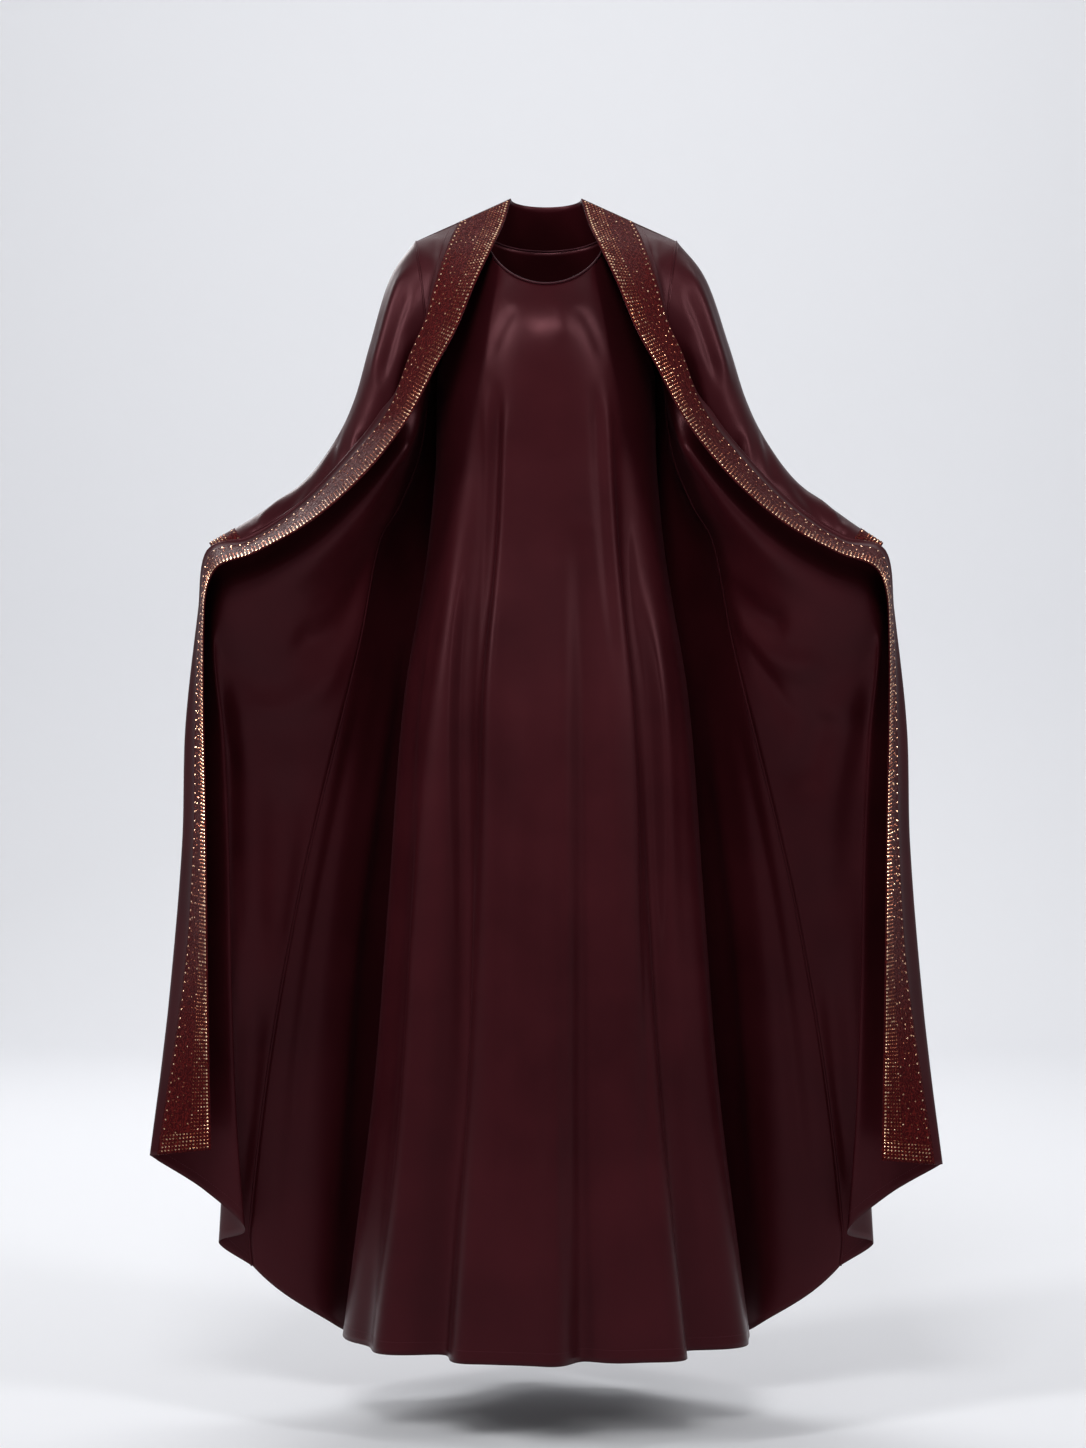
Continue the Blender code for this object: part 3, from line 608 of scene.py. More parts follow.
def dress_top(inner, facing):
    """Left half of the dress's top line (out positive): shoulder seam, then neckline."""
    tip = dress_armhole(0.0, facing)
    neck_side = np.array(DRESS_NECK_SIDE)
    if inner < DRESS_SHOULDER_SHARE:
        return tip + (neck_side - tip) * inner / DRESS_SHOULDER_SHARE
    turn = (inner - DRESS_SHOULDER_SHARE) / (1.0 - DRESS_SHOULDER_SHARE) * math.pi / 2
    neck = FRONT_NECK if facing > 0 else BACK_NECK
    return np.array((
        neck_side[0] * math.cos(turn),
        neck_side[1] - facing * neck["reach"] * math.sin(turn),
        neck_side[2] - neck["drop"] * math.sin(turn) ** 1.1,
    ))


def dress_point(across, level, facing):
    """Point of a dress panel. level is 0 at the top, 1 at the underarm and 2 at the hem."""
    side = 1.0 if across >= 0.0 else -1.0
    inner = 1.0 - abs(across)
    turn = 90.0 * abs(across)
    if level >= 1.0:
        height = DRESS_UNDERARM + (DRESS_HEM - DRESS_UNDERARM) * (level - 1.0)
        point = dress_ring(turn if facing > 0 else 180.0 - turn, height)
        point[0] *= side
        folds = DRESS_FRONT_FOLDS if facing > 0 else DRESS_BACK_FOLDS
        return dress_folds(point, side * turn, height, folds)
    low = dress_ring(turn if facing > 0 else 180.0 - turn, DRESS_UNDERARM)
    edge_error = dress_armhole(level, facing) - (
        dress_armhole(0.0, facing) * (1.0 - level) + dress_armhole(1.0, facing) * level
    )
    point = dress_top(inner, facing) * (1.0 - level) + low * level + edge_error * (1.0 - inner) ** 2
    fullness = (FRONT_NECK if facing > 0 else BACK_NECK)["fullness"]
    point[1] -= facing * fullness * math.sin(math.pi * level) * math.sin(math.pi / 2 * inner) ** 0.7
    point[0] *= side
    return point


dress_levels = np.concatenate((
    np.linspace(0.0, 1.0, YOKE_ROWS, endpoint=False),
    np.linspace(1.0, 2.0, DRESS_ROWS - YOKE_ROWS),
))
dress_front_across = np.linspace(-1.0, 1.0, DRESS_FRONT_COLUMNS + 1)
dress_back_across = np.linspace(-1.0, 1.0, DRESS_BACK_COLUMNS + 1)
dress_front_surface = np.array([[dress_point(a, v, 1) for a in dress_front_across] for v in dress_levels])
dress_back_surface = np.array([[dress_point(a, v, -1) for a in dress_back_across] for v in dress_levels])
print("dress grids:", dress_front_surface.shape, dress_back_surface.shape)

# %% [markdown]
# Creases pressed in
# Thin satin never hangs perfectly smooth: it pulls from where it is held and breaks softly at the
# elbow. Each crease is a short line on the panel with a depth and a width. Every point of the cloth
# near the line moves along its own normal, most at the line and not at all a few centimetres away.
# The effect fades in and out along the line and towards the sewn edges, so the seams stay closed.
# Simulation would do this too, but a crease at listed places stays where the picture has it.

# %% Crease helpers
SEAM_HOLD = 0.030


def grid_normals(grid, closed=False):
    """Unit normals of a grid of points; rows run down and columns across."""
    down = np.gradient(grid, axis=0)
    if closed:
        across = np.roll(grid, -1, axis=1) - np.roll(grid, 1, axis=1)
    else:
        across = np.gradient(grid, axis=1)
    normals = np.cross(down, across)
    lengths = np.linalg.norm(normals, axis=2, keepdims=True)
    return normals / np.maximum(lengths, 1e-12)


def at_place(grid, rows, columns, place):
    """Point of the grid at a place given in the panel's own measures (down, across)."""
    row = np.interp(place[0], rows, np.arange(len(rows)))
    column = np.interp(place[1], columns, np.arange(len(columns)))
    row_low, column_low = min(int(row), len(rows) - 2), min(int(column), len(columns) - 2)
    r, c = row - row_low, column - column_low
    upper = grid[row_low, column_low] * (1 - c) + grid[row_low, column_low + 1] * c
    lower = grid[row_low + 1, column_low] * (1 - c) + grid[row_low + 1, column_low + 1] * c
    return upper * (1 - r) + lower * r


def iron(grid, weights, rounds):
    """The grid smoothed by its neighbours in rows whose weight is 1, with its edges held."""
    grid = np.array(grid, dtype=float)
    share = 0.25 * np.asarray(weights)[:, None, None]
    for _ in range(rounds):
        around = grid[:-2, 1:-1] + grid[2:, 1:-1] + grid[1:-1, :-2] + grid[1:-1, 2:] - 4.0 * grid[1:-1, 1:-1]
        grid[1:-1, 1:-1] += share[1:-1] * around
    return grid


def seam_hold(grid, held_sides):
    """0 along the sewn edges of a grid, rising to 1 at SEAM_HOLD inside them."""
    down = np.linalg.norm(np.diff(grid, axis=0), axis=2)
    across = np.linalg.norm(np.diff(grid, axis=1), axis=2)
    hold = np.ones(grid.shape[:2])
    if "top" in held_sides:
        hold[1:] *= smooth_step(np.cumsum(down, axis=0) / SEAM_HOLD)
        hold[0] = 0.0
    if "first" in held_sides:
        hold[:, 1:] *= smooth_step(np.cumsum(across, axis=1) / SEAM_HOLD)
        hold[:, 0] = 0.0
    if "last" in held_sides:
        hold[:, :-1] *= smooth_step(np.cumsum(across[:, ::-1], axis=1)[:, ::-1] / SEAM_HOLD)
        hold[:, -1] = 0.0
    return hold


def press_creases(grid, rows, columns, creases, held_sides, facing=1.0, closed=False):
    """The grid with soft ridges (positive depth, outwards) and troughs (negative) pressed in.

    facing is -1 for a grid whose normals point into the garment.
    """
    normals = grid_normals(grid, closed) * facing
    points = grid.reshape(-1, 3)
    moved = np.zeros(len(points))
    for _, depth_mm, width_mm, places in creases:
        steps = np.linspace(0.0, len(places) - 1.0, 6 * len(places))
        line = np.array([at_place(grid, rows, columns, p) for p in through(places, steps)])
        nearest = np.full(len(points), np.inf)
        travelled = np.zeros(len(points))
        for index in range(len(line) - 1):
            start, run = line[index], line[index + 1] - line[index]
            share = np.clip((points - start) @ run / max(run @ run, 1e-12), 0.0, 1.0)
            distance = np.linalg.norm(points - start - share[:, None] * run, axis=1)
            closer = distance < nearest
            nearest[closer] = distance[closer]
            travelled[closer] = ((index + share) / (len(line) - 1))[closer]
        fade = smooth_step(travelled / 0.28) * smooth_step((1.0 - travelled) / 0.28)
        moved += depth_mm / 1000.0 * fade * np.exp(-(nearest / (width_mm / 1000.0)) ** 2)
    moved = moved.reshape(grid.shape[:2]) * seam_hold(grid, held_sides)
    return grid + normals * moved[:, :, None]


print("creases stay clear of a seam by", SEAM_HOLD * 1000, "mm")

# %% Creases of the front panels
# Columns: what it is, depth and half width in millimetres, places as (station, line number).
# Line 0 is the free edge, 1 the band's inner edge, 4 and 5 the hanging folds, 6 the side seam.
BOTH_FRONTS = (
    ("first shoulder fold", 4.0, 10.0, ((0.03, 2.4), (0.14, 2.6), (0.25, 3.0))),
    ("shoulder trough", -5.0, 9.0, ((0.05, 3.2), (0.15, 3.4), (0.26, 3.9))),
    ("second shoulder fold", 4.0, 9.0, ((0.07, 4.2), (0.17, 4.5), (0.27, 4.8))),
    ("arm trough", -3.5, 8.0, ((0.10, 5.0), (0.19, 5.2), (0.28, 5.5))),
)
LEFT_FRONT_CREASES = BOTH_FRONTS + (
    ("pull from the grip", -9.0, 24.0, ((0.70, 5.10), (0.82, 5.25), (0.98, 5.45), (1.12, 5.62))),
    ("swag under the arm", 6.0, 26.0, ((0.66, 5.25), (0.64, 5.50), (0.58, 5.75), (0.50, 5.92))),
    ("second swag", -5.0, 22.0, ((0.74, 5.28), (0.74, 5.52), (0.68, 5.75), (0.60, 5.90))),
    ("seam side hollow", 7.0, 26.0, ((0.80, 5.65), (0.92, 5.78), (1.05, 5.86))),
    ("dark crease by the fold", 4.0, 9.0, ((0.86, 5.02), (0.95, 5.06), (1.06, 5.08))),
    ("lower pull", -5.0, 20.0, ((1.05, 5.25), (1.20, 5.35), (1.34, 5.45))),
    ("lower hollow", 5.0, 18.0, ((1.08, 5.62), (1.22, 5.70), (1.36, 5.74))),
)
RIGHT_FRONT_CREASES = BOTH_FRONTS + (
    ("pull from the grip", -7.0, 26.0, ((0.70, 5.12), (0.80, 5.32), (0.90, 5.52), (1.02, 5.74))),
    ("swag under the arm", -6.0, 20.0, ((0.68, 5.22), (0.68, 5.48), (0.62, 5.72), (0.54, 5.90))),
    ("hollow above the swag", 6.0, 20.0, ((0.64, 5.30), (0.60, 5.55), (0.54, 5.80))),
    ("small crease by the seam", 4.0, 9.0, ((0.60, 5.80), (0.68, 5.74), (0.76, 5.66))),
    ("hollow under the swag", 7.0, 24.0, ((0.76, 5.35), (0.80, 5.55), (0.84, 5.78))),
    ("lower pull", -5.0, 22.0, ((1.00, 5.30), (1.16, 5.42), (1.32, 5.52))),
    ("lower hollow", 5.0, 18.0, ((1.04, 5.70), (1.20, 5.78), (1.34, 5.82))),
)
SEWN_FRONT = ("top", "last")
left_front = press_creases(front_surface, front_stations, front_columns, LEFT_FRONT_CREASES, SEWN_FRONT)
right_front = press_creases(front_surface, front_stations, front_columns, RIGHT_FRONT_CREASES, SEWN_FRONT)
print("creases:", len(LEFT_FRONT_CREASES), "left,", len(RIGHT_FRONT_CREASES), "right")

# %% Creases of the back
# Places are (station, across), across from -1 at the left seam to 1 at the right one.
BACK_CREASES = (
    ("left shoulder pull", -3.0, 14.0, ((0.04, -0.62), (0.14, -0.66), (0.26, -0.74))),
    ("right shoulder pull", -3.0, 13.0, ((0.05, 0.60), (0.15, 0.66), (0.25, 0.72))),
    ("left shoulder ridge", 3.0, 12.0, ((0.08, -0.42), (0.22, -0.46), (0.40, -0.50))),
    ("right shoulder ridge", 3.0, 14.0, ((0.07, 0.38), (0.24, 0.44), (0.44, 0.46))),
    ("left waist break", -4.0, 20.0, ((0.36, -0.80), (0.48, -0.62), (0.56, -0.40))),
    ("right waist break", -4.0, 22.0, ((0.34, 0.84), (0.46, 0.66), (0.58, 0.46))),
    ("long left trough", -5.0, 16.0, ((0.55, -0.66), (0.90, -0.69), (1.36, -0.70))),
    ("long left ridge", 5.0, 15.0, ((0.60, -0.45), (0.95, -0.46), (1.38, -0.47))),
    ("long middle trough", -5.0, 17.0, ((0.40, 0.00), (0.85, 0.00), (1.38, -0.01))),
    ("long right ridge", 5.0, 14.0, ((0.50, 0.46), (0.90, 0.45), (1.38, 0.45))),
    ("long right trough", -5.0, 15.0, ((0.60, 0.70), (0.95, 0.69), (1.36, 0.69))),
    ("left seam ridge", 4.0, 12.0, ((0.62, -0.90), (0.95, -0.90), (1.38, -0.90))),
    ("right seam ridge", 4.0, 12.0, ((0.66, 0.90), (0.98, 0.89), (1.38, 0.90))),
)
SEWN_ROUND = ("top", "first", "last")
back_cloth = press_creases(back_surface, back_stations, back_across, BACK_CREASES, SEWN_ROUND, facing=-1.0)
print("creases on the back:", len(BACK_CREASES))

# %% Creases of the sleeves
# Places are (ring, turn in degrees); the turn runs from the top of the arm by the front.
SLEEVE_CREASES = (
    ("cap fold", 3.0, 8.0, ((0.2, 40.0), (1.4, 52.0), (2.8, 60.0))),
    ("cap trough", -3.5, 7.0, ((0.3, 66.0), (1.5, 78.0), (2.7, 84.0))),
    ("upper arm fold", 3.0, 8.0, ((1.0, 100.0), (2.2, 112.0), (3.4, 120.0))),
    ("inner elbow break", -5.0, 8.0, ((3.6, 70.0), (4.0, 120.0), (4.2, 175.0))),
    ("elbow ridge", 3.5, 8.0, ((3.4, 50.0), (4.4, 100.0), (4.9, 160.0))),
    ("outer elbow break", -3.0, 9.0, ((3.8, 10.0), (4.3, 40.0), (4.8, 70.0))),
    ("forearm pull", -3.0, 8.0, ((4.9, 30.0), (5.6, 60.0), (6.3, 95.0))),
    ("forearm ridge", 3.0, 7.0, ((5.2, 10.0), (6.0, 38.0), (6.7, 66.0))),
    ("wrist crease", -2.5, 6.0, ((5.9, 20.0), (6.4, 60.0), (6.8, 100.0))),
    ("back arm fold", 3.5, 10.0, ((0.8, 250.0), (2.2, 262.0), (3.6, 270.0))),
    ("back elbow break", -4.5, 9.0, ((3.8, 200.0), (4.2, 250.0), (4.4, 300.0))),
    ("back forearm fold", 3.0, 9.0, ((4.8, 230.0), (5.8, 250.0), (6.6, 262.0))),
    ("top of the arm fold", -2.5, 9.0, ((1.2, 330.0), (2.4, 338.0), (3.6, 344.0))),
)
sleeve_cloth = press_creases(
    sleeve_surface, ring_positions, sleeve_turns, SLEEVE_CREASES, ("top",), facing=-1.0, closed=True)
print("creases on a sleeve:", len(SLEEVE_CREASES))

# %% Creases of the dress
# Places are (level, across): level 0 is the top, 1 the underarm and 2 the hem.
DRESS_FRONT_CREASES = (
    ("left long valley", -6.0, 13.0, ((1.12, -0.47), (1.45, -0.41), (1.95, -0.31))),
    ("left long ridge", 5.0, 14.0, ((1.15, -0.27), (1.50, -0.22), (1.96, -0.18))),
    ("middle valley", -3.5, 10.0, ((1.35, 0.05), (1.70, 0.06), (1.97, 0.06))),
    ("right long valley", -6.0, 13.0, ((1.10, 0.47), (1.45, 0.42), (1.95, 0.32))),
    ("right outer ridge", 5.0, 14.0, ((1.20, 0.63), (1.50, 0.58), (1.95, 0.52))),
    ("left outer ridge", 5.0, 14.0, ((1.22, -0.66), (1.52, -0.60), (1.95, -0.53))),
    ("left bust fold", 3.0, 9.0, ((1.00, -0.37), (1.10, -0.365), (1.30, -0.36), (1.55, -0.35))),
    ("left bust trough", -3.5, 9.0, ((1.00, -0.29), (1.12, -0.30), (1.34, -0.31))),
    ("second left fold", 2.5, 8.0, ((1.02, -0.235), (1.16, -0.24), (1.45, -0.25))),
    ("right bust fold", 3.0, 9.0, ((1.00, 0.36), (1.12, 0.37), (1.36, 0.39), (1.60, 0.40))),
    ("right bust trough", -3.0, 9.0, ((1.00, 0.29), (1.12, 0.30), (1.34, 0.31))),
    ("neck pull to the left", -1.5, 10.0, ((0.30, -0.20), (0.62, -0.30), (0.95, -0.38))),
    ("neck pull to the right", -1.5, 10.0, ((0.30, 0.20), (0.62, 0.30), (0.95, 0.38))),
    ("under the neck", 1.2, 12.0, ((0.10, 0.06), (0.40, 0.10), (0.75, 0.12))),
    ("long left ridge", 2.5, 14.0, ((1.30, -0.10), (1.60, -0.12), (1.95, -0.13))),
    ("long left trough", -2.5, 16.0, ((1.35, -0.02), (1.65, -0.04), (1.96, -0.05))),
    ("long right ridge", 2.5, 13.0, ((1.25, 0.26), (1.60, 0.28), (1.95, 0.30))),
    ("side trough left", -4.0, 12.0, ((1.15, -0.62), (1.50, -0.62), (1.95, -0.63))),
    ("side ridge right", 4.0, 12.0, ((1.20, 0.60), (1.55, 0.60), (1.95, 0.62))),
)
DRESS_BACK_CREASES = (
    ("left long trough", -4.0, 14.0, ((1.05, -0.50), (1.50, -0.50), (1.95, -0.50))),
    ("middle ridge", 4.0, 16.0, ((1.00, 0.06), (1.45, 0.08), (1.95, 0.08))),
    ("right long trough", -4.0, 14.0, ((1.08, 0.42), (1.50, 0.42), (1.95, 0.42))),
    ("shoulder blade pull", -2.0, 14.0, ((0.30, -0.30), (0.70, -0.40), (1.00, -0.46))),
)
# The top of the dress is ironed smooth before its creases, because its corners at the neck show.
FRONT_IRONING = 160
BACK_IRONING = 60
YOKE = 1.0 - smooth_step((dress_levels - 0.95) / 0.15)
dress_front_cloth = press_creases(
    iron(dress_front_surface, YOKE, FRONT_IRONING), dress_levels, dress_front_across,
    DRESS_FRONT_CREASES, SEWN_ROUND)
dress_back_cloth = press_creases(
    iron(dress_back_surface, YOKE, BACK_IRONING), dress_levels, dress_back_across,
    DRESS_BACK_CREASES, SEWN_ROUND, facing=-1.0)
print("creases on the dress:", len(DRESS_FRONT_CREASES) + len(DRESS_BACK_CREASES))

# %% [markdown]
# Thin cloth from a grid
# The solids in the frame are over a millimetre thick so that they can be tested. Real satin is far
# thinner, so each panel is made again as a shell of half that wall on the same surface. Its texture
# map is measured in metres along and across the cut, which keeps the weave at its real size.

# %% Cloth helpers
SATIN_WALL = 0.0006


def lengths_along(grid, axis):
    """Mean travelled length along an axis of a grid, in metres, starting from zero."""
    steps = np.linalg.norm(np.diff(grid, axis=axis), axis=2).mean(axis=1 - axis)
    return np.concatenate(([0.0], np.cumsum(steps)))


def cloth_area(grid, closed=False):
    """Area of one side of a grid of points, in square metres."""
    if closed:
        grid = np.concatenate((grid, grid[:, :1]), axis=1)
    first = np.cross(grid[1:, :-1] - grid[:-1, :-1], grid[1:, 1:] - grid[:-1, :-1])
    second = np.cross(grid[1:, 1:] - grid[:-1, :-1], grid[:-1, 1:] - grid[:-1, :-1])
    return 0.5 * float(np.linalg.norm(first, axis=2).sum() + np.linalg.norm(second, axis=2).sum())


def mirrored(grid):
    """The grid on the other side of the middle, with its columns turned to keep the same outside."""
    grid = np.array(grid, dtype=float)
    grid[:, :, 0] *= -1.0
    return grid[:, ::-1]


def moved_out(grid, distance, closed=False):
    """The grid moved along its own normals."""
    return grid + distance * grid_normals(grid, closed)


def sew(name, grid, material, wall=SATIN_WALL, closed=False):
    """A thin shell of cloth on a grid, with a texture map in metres."""
    row_count, column_count = grid.shape[:2]
    faces = grid_faces(row_count, column_count, closed)
    piece = mesh_object(name, grid.reshape(-1, 3), faces)
    piece.data.materials.append(material)
    wrapped = np.concatenate((grid, grid[:, :1]), axis=1) if closed else grid
    widths = lengths_along(wrapped, 1)
    lengths = lengths_along(grid, 0)
    rows, columns = np.divmod(faces, column_count)
    if closed:
        columns[:, 2:] = np.where(columns[:, 2:] == 0, column_count, columns[:, 2:])
    layer = piece.data.uv_layers.new(name="cut")
    places = np.stack((widths[columns], -lengths[rows]), axis=-1)
    layer.data.foreach_set("uv", places.reshape(-1))
    wall_modifier = piece.modifiers.new("cloth wall", "SOLIDIFY")
    wall_modifier.thickness = wall
    wall_modifier.offset = 0.0
    return piece


def tube(name, path, radius, material, sides=8, closed=False, flat=1.0, ups=None):
    """A round or flattened cord along a path of points."""
    path = np.array(path, dtype=float)
    if closed:
        run = np.roll(path, -1, axis=0) - np.roll(path, 1, axis=0)
    else:
        run = np.gradient(path, axis=0)
    run /= np.linalg.norm(run, axis=1, keepdims=True)
    up = np.tile((0.0, 0.0, 1.0), (len(path), 1)) if ups is None else np.array(ups, dtype=float)
    side = np.cross(run, up)
    side /= np.maximum(np.linalg.norm(side, axis=1, keepdims=True), 1e-9)
    up = np.cross(side, run)
    turns = 2.0 * np.pi * np.arange(sides) / sides
    ring = side[:, None] * np.cos(turns)[None, :, None] + up[:, None] * (flat * np.sin(turns))[None, :, None]
    points = path[:, None] + radius * ring
    if closed:
        points = np.concatenate((points, points[:1]), axis=0)
    faces = [tuple(face) for face in grid_faces(len(points), sides, closed=True)]
    if closed:
        count = len(path) * sides
        faces = [tuple(int(i) % count for i in face) for face in faces]
        points = points[:-1]
    else:
        last = (len(points) - 1) * sides
        faces.append(tuple(range(sides)))
        faces.append(tuple(last + i for i in reversed(range(sides))))
    piece = mesh_object(name, points.reshape(-1, 3), faces)
    piece.data.materials.append(material)
    return piece


print("a satin wall is", SATIN_WALL * 1000, "mm")

# %% [markdown]
# Satin
# Satin has long threads floating on its face, so it shines in soft streaks and its folds turn from
# near black to a rosy edge. A moderate roughness gives the wide shine, which is tinted and weak so
# that the pale room doesn't turn it grey, and a very fine weave in the bump breaks it up close. Slow
# changes of colour keep the large panels from looking like plastic.

# %% Material helpers
def shader_of(material):
    return material.node_tree.nodes["Principled BSDF"]


def add_node(material, kind, **inputs):
    node = material.node_tree.nodes.new(kind)
    for key, value in inputs.items():
        node.inputs[key.replace("_", " ")].default_value = value
    return node


def join(material, source, target):
    material.node_tree.links.new(source, target)


def ramp_between(material, factor, low, high, low_at=0.3, high_at=0.7):
    """A colour ramp from one colour to another, driven by a value."""
    ramp = material.node_tree.nodes.new("ShaderNodeValToRGB")
    ramp.color_ramp.elements[0].position = low_at
    ramp.color_ramp.elements[0].color = (*low, 1.0)
    ramp.color_ramp.elements[1].position = high_at
    ramp.color_ramp.elements[1].color = (*high, 1.0)
    join(material, factor, ramp.inputs["Fac"])
    return ramp.outputs["Color"]


def weave_height(material, threads_per_metre, turn):
    """Fine diagonal ridges of a satin weave, read from the cut's own texture map."""
    place = add_node(material, "ShaderNodeUVMap")
    place.uv_map = "cut"
    mapping = add_node(material, "ShaderNodeMapping")
    mapping.inputs["Rotation"].default_value = (0.0, 0.0, math.radians(turn))
    join(material, place.outputs["UV"], mapping.inputs["Vector"])
    wave = add_node(material, "ShaderNodeTexWave", Scale=threads_per_metre / 6.2832, Distortion=1.5)
    wave.inputs["Detail"].default_value = 1.0
    join(material, mapping.outputs["Vector"], wave.inputs["Vector"])
    return wave.outputs["Fac"]


def bump_from(material, height, strength, distance, below=None):
    bump = add_node(material, "ShaderNodeBump", Strength=strength, Distance=distance)
    join(material, height, bump.inputs["Height"])
    if below is not None:
        join(material, below, bump.inputs["Normal"])
    return bump.outputs["Normal"]


# %% Satin finish
SATIN_DEEP = (0.022, 0.0026, 0.0040)
SATIN_LIT = (0.034, 0.0042, 0.0062)
SATIN_ROUGHNESS = 0.36
THREADS_PER_METRE = 2600.0


def satin_material(name, deep, lit, roughness):
    material = bpy.data.materials.new(name)
    material.use_nodes = True
    shader = shader_of(material)
    place = add_node(material, "ShaderNodeTexCoord")
    clouds = add_node(material, "ShaderNodeTexNoise", Scale=7.0, Detail=3.0, Roughness=0.55)
    join(material, place.outputs["Object"], clouds.inputs["Vector"])
    join(material, ramp_between(material, clouds.outputs["Fac"], deep, lit), shader.inputs["Base Color"])
    spread = add_node(material, "ShaderNodeMapRange", From_Min=0.3, From_Max=0.7)
    spread.inputs["To Min"].default_value = roughness - 0.03
    spread.inputs["To Max"].default_value = roughness + 0.04
    join(material, clouds.outputs["Fac"], spread.inputs["Value"])
    join(material, spread.outputs["Result"], shader.inputs["Roughness"])
    shader.inputs["IOR"].default_value = 1.32
    shader.inputs["Specular IOR Level"].default_value = 0.55
    shader.inputs["Specular Tint"].default_value = (1.0, 0.40, 0.46, 1.0)
    shader.inputs["Anisotropic"].default_value = 0.45
    shader.inputs["Sheen Weight"].default_value = 0.02
    shader.inputs["Sheen Roughness"].default_value = 0.35
    shader.inputs["Sheen Tint"].default_value = (0.80, 0.34, 0.42, 1.0)
    ripples = add_node(material, "ShaderNodeTexNoise", Scale=38.0, Detail=2.0, Roughness=0.5)
    join(material, place.outputs["Object"], ripples.inputs["Vector"])
    soft = bump_from(material, ripples.outputs["Fac"], 0.12, 0.0012)
    weave = weave_height(material, THREADS_PER_METRE, 62.0)
    join(material, bump_from(material, weave, 0.10, 0.00012, below=soft), shader.inputs["Normal"])
    return material


satin = satin_material("burgundy_satin", SATIN_DEEP, SATIN_LIT, SATIN_ROUGHNESS)
# The neck binding's own satin, with a darker colour painted on as painted shade for its rolled fold.
binding_satin_painted_shade = satin_material("binding_painted_shade", (0.022, 0.005, 0.0075), (0.032, 0.008, 0.011), 0.45)
thread = satin_material("sewing_thread", (0.055, 0.012, 0.018), (0.085, 0.020, 0.028), 0.6)
print("satin finishes made")

# %% [markdown]
# Band cloth
# The bands are redder than the satin and worked all over with fine coppery thread between the
# studs. Thin lines between tiny cells, broken up by curling waves, stand for that threadwork. The
# same pattern tints the colour and raises it, so that light catches the threads that are brighter.

# %% Band finish
BAND_GROUND = (0.032, 0.0024, 0.0034)
BAND_THREAD = (0.085, 0.0075, 0.0070)


def band_material():
    material = bpy.data.materials.new("threadwork_band")
    material.use_nodes = True
    shader = shader_of(material)
    place = add_node(material, "ShaderNodeUVMap")
    place.uv_map = "cut"
    flow = add_node(material, "ShaderNodeTexNoise", Scale=70.0, Detail=3.0, Roughness=0.6)
    join(material, place.outputs["UV"], flow.inputs["Vector"])
    curls = add_node(material, "ShaderNodeTexWave", Scale=55.0, Distortion=14.0, Detail=2.0)
    curls.inputs["Detail Scale"].default_value = 2.0
    join(material, place.outputs["UV"], curls.inputs["Vector"])
    loops = add_node(material, "ShaderNodeTexVoronoi", Scale=420.0)
    loops.feature = "DISTANCE_TO_EDGE"
    join(material, place.outputs["UV"], loops.inputs["Vector"])
    lines = add_node(material, "ShaderNodeMath")
    lines.operation = "LESS_THAN"
    join(material, loops.outputs["Distance"], lines.inputs[0])
    lines.inputs[1].default_value = 0.16
    worked = add_node(material, "ShaderNodeMath")
    worked.operation = "MULTIPLY"
    join(material, lines.outputs["Value"], worked.inputs[0])
    join(material, curls.outputs["Fac"], worked.inputs[1])
    join(
        material, ramp_between(material, worked.outputs["Value"], BAND_GROUND, BAND_THREAD, 0.15, 0.95),
        shader.inputs["Base Color"])
    spread = add_node(material, "ShaderNodeMapRange", To_Min=0.62, To_Max=0.40)
    join(material, worked.outputs["Value"], spread.inputs["Value"])
    join(material, spread.outputs["Result"], shader.inputs["Roughness"])
    shader.inputs["IOR"].default_value = 1.16
    shader.inputs["Specular IOR Level"].default_value = 0.50
    shader.inputs["Specular Tint"].default_value = (1.0, 0.40, 0.36, 1.0)
    soft = bump_from(material, flow.outputs["Fac"], 0.25, 0.0008)
    raised = bump_from(material, worked.outputs["Value"], 0.6, 0.0004, below=soft)
    join(material, raised, shader.inputs["Normal"])
    return material


band_cloth = band_material()
print("band finish made")

# %% [markdown]
# Studs
# The studs are small faceted metal buttons pressed through the band, in three tones from pale gold
# to dark copper. They are polished metal, so most of their look is what they mirror. Slow changes
# of tone from stud to stud keep the rows from looking printed.

# %% Stud finishes
STUD_TONES = (
    ("pale_gold_stud", (0.90, 0.60, 0.40), (0.72, 0.40, 0.23), 0.22),
    ("rose_gold_stud", (0.40, 0.15, 0.085), (0.26, 0.085, 0.045), 0.26),
    ("dark_copper_stud", (0.17, 0.045, 0.026), (0.10, 0.025, 0.016), 0.32),
)


def stud_material(name, light_tone, dark_tone, roughness):
    material = bpy.data.materials.new(name)
    material.use_nodes = True
    shader = shader_of(material)
    place = add_node(material, "ShaderNodeTexCoord")
    tones = add_node(material, "ShaderNodeTexNoise", Scale=160.0, Detail=1.0)
    join(material, place.outputs["Object"], tones.inputs["Vector"])
    tone = ramp_between(material, tones.outputs["Fac"], dark_tone, light_tone, 0.35, 0.65)
    join(material, tone, shader.inputs["Base Color"])
    shader.inputs["Metallic"].default_value = 1.0
    shader.inputs["Roughness"].default_value = roughness
    return material


stud_materials = [stud_material(*tone) for tone in STUD_TONES]
print("stud tones:", len(stud_materials))

# %% [markdown]
# Place the front panels and their bands
# The left panel is placed as a mirrored form, and the right hem corner hangs a little
# lower. Each band is taken from its own panel's points and lifted by a little more than half of both
# walls, so it lies on the panel through every fold.

# %% Front panels and bands
BAND_WALL = 0.0007
BAND_LIFT = 0.0008
RIGHT_CORNER_DROP = 0.013
DROP_START = -0.5
DROP_SPAN = 0.7
BAND_STEPS = STEPS_BETWEEN_RAILS[0]


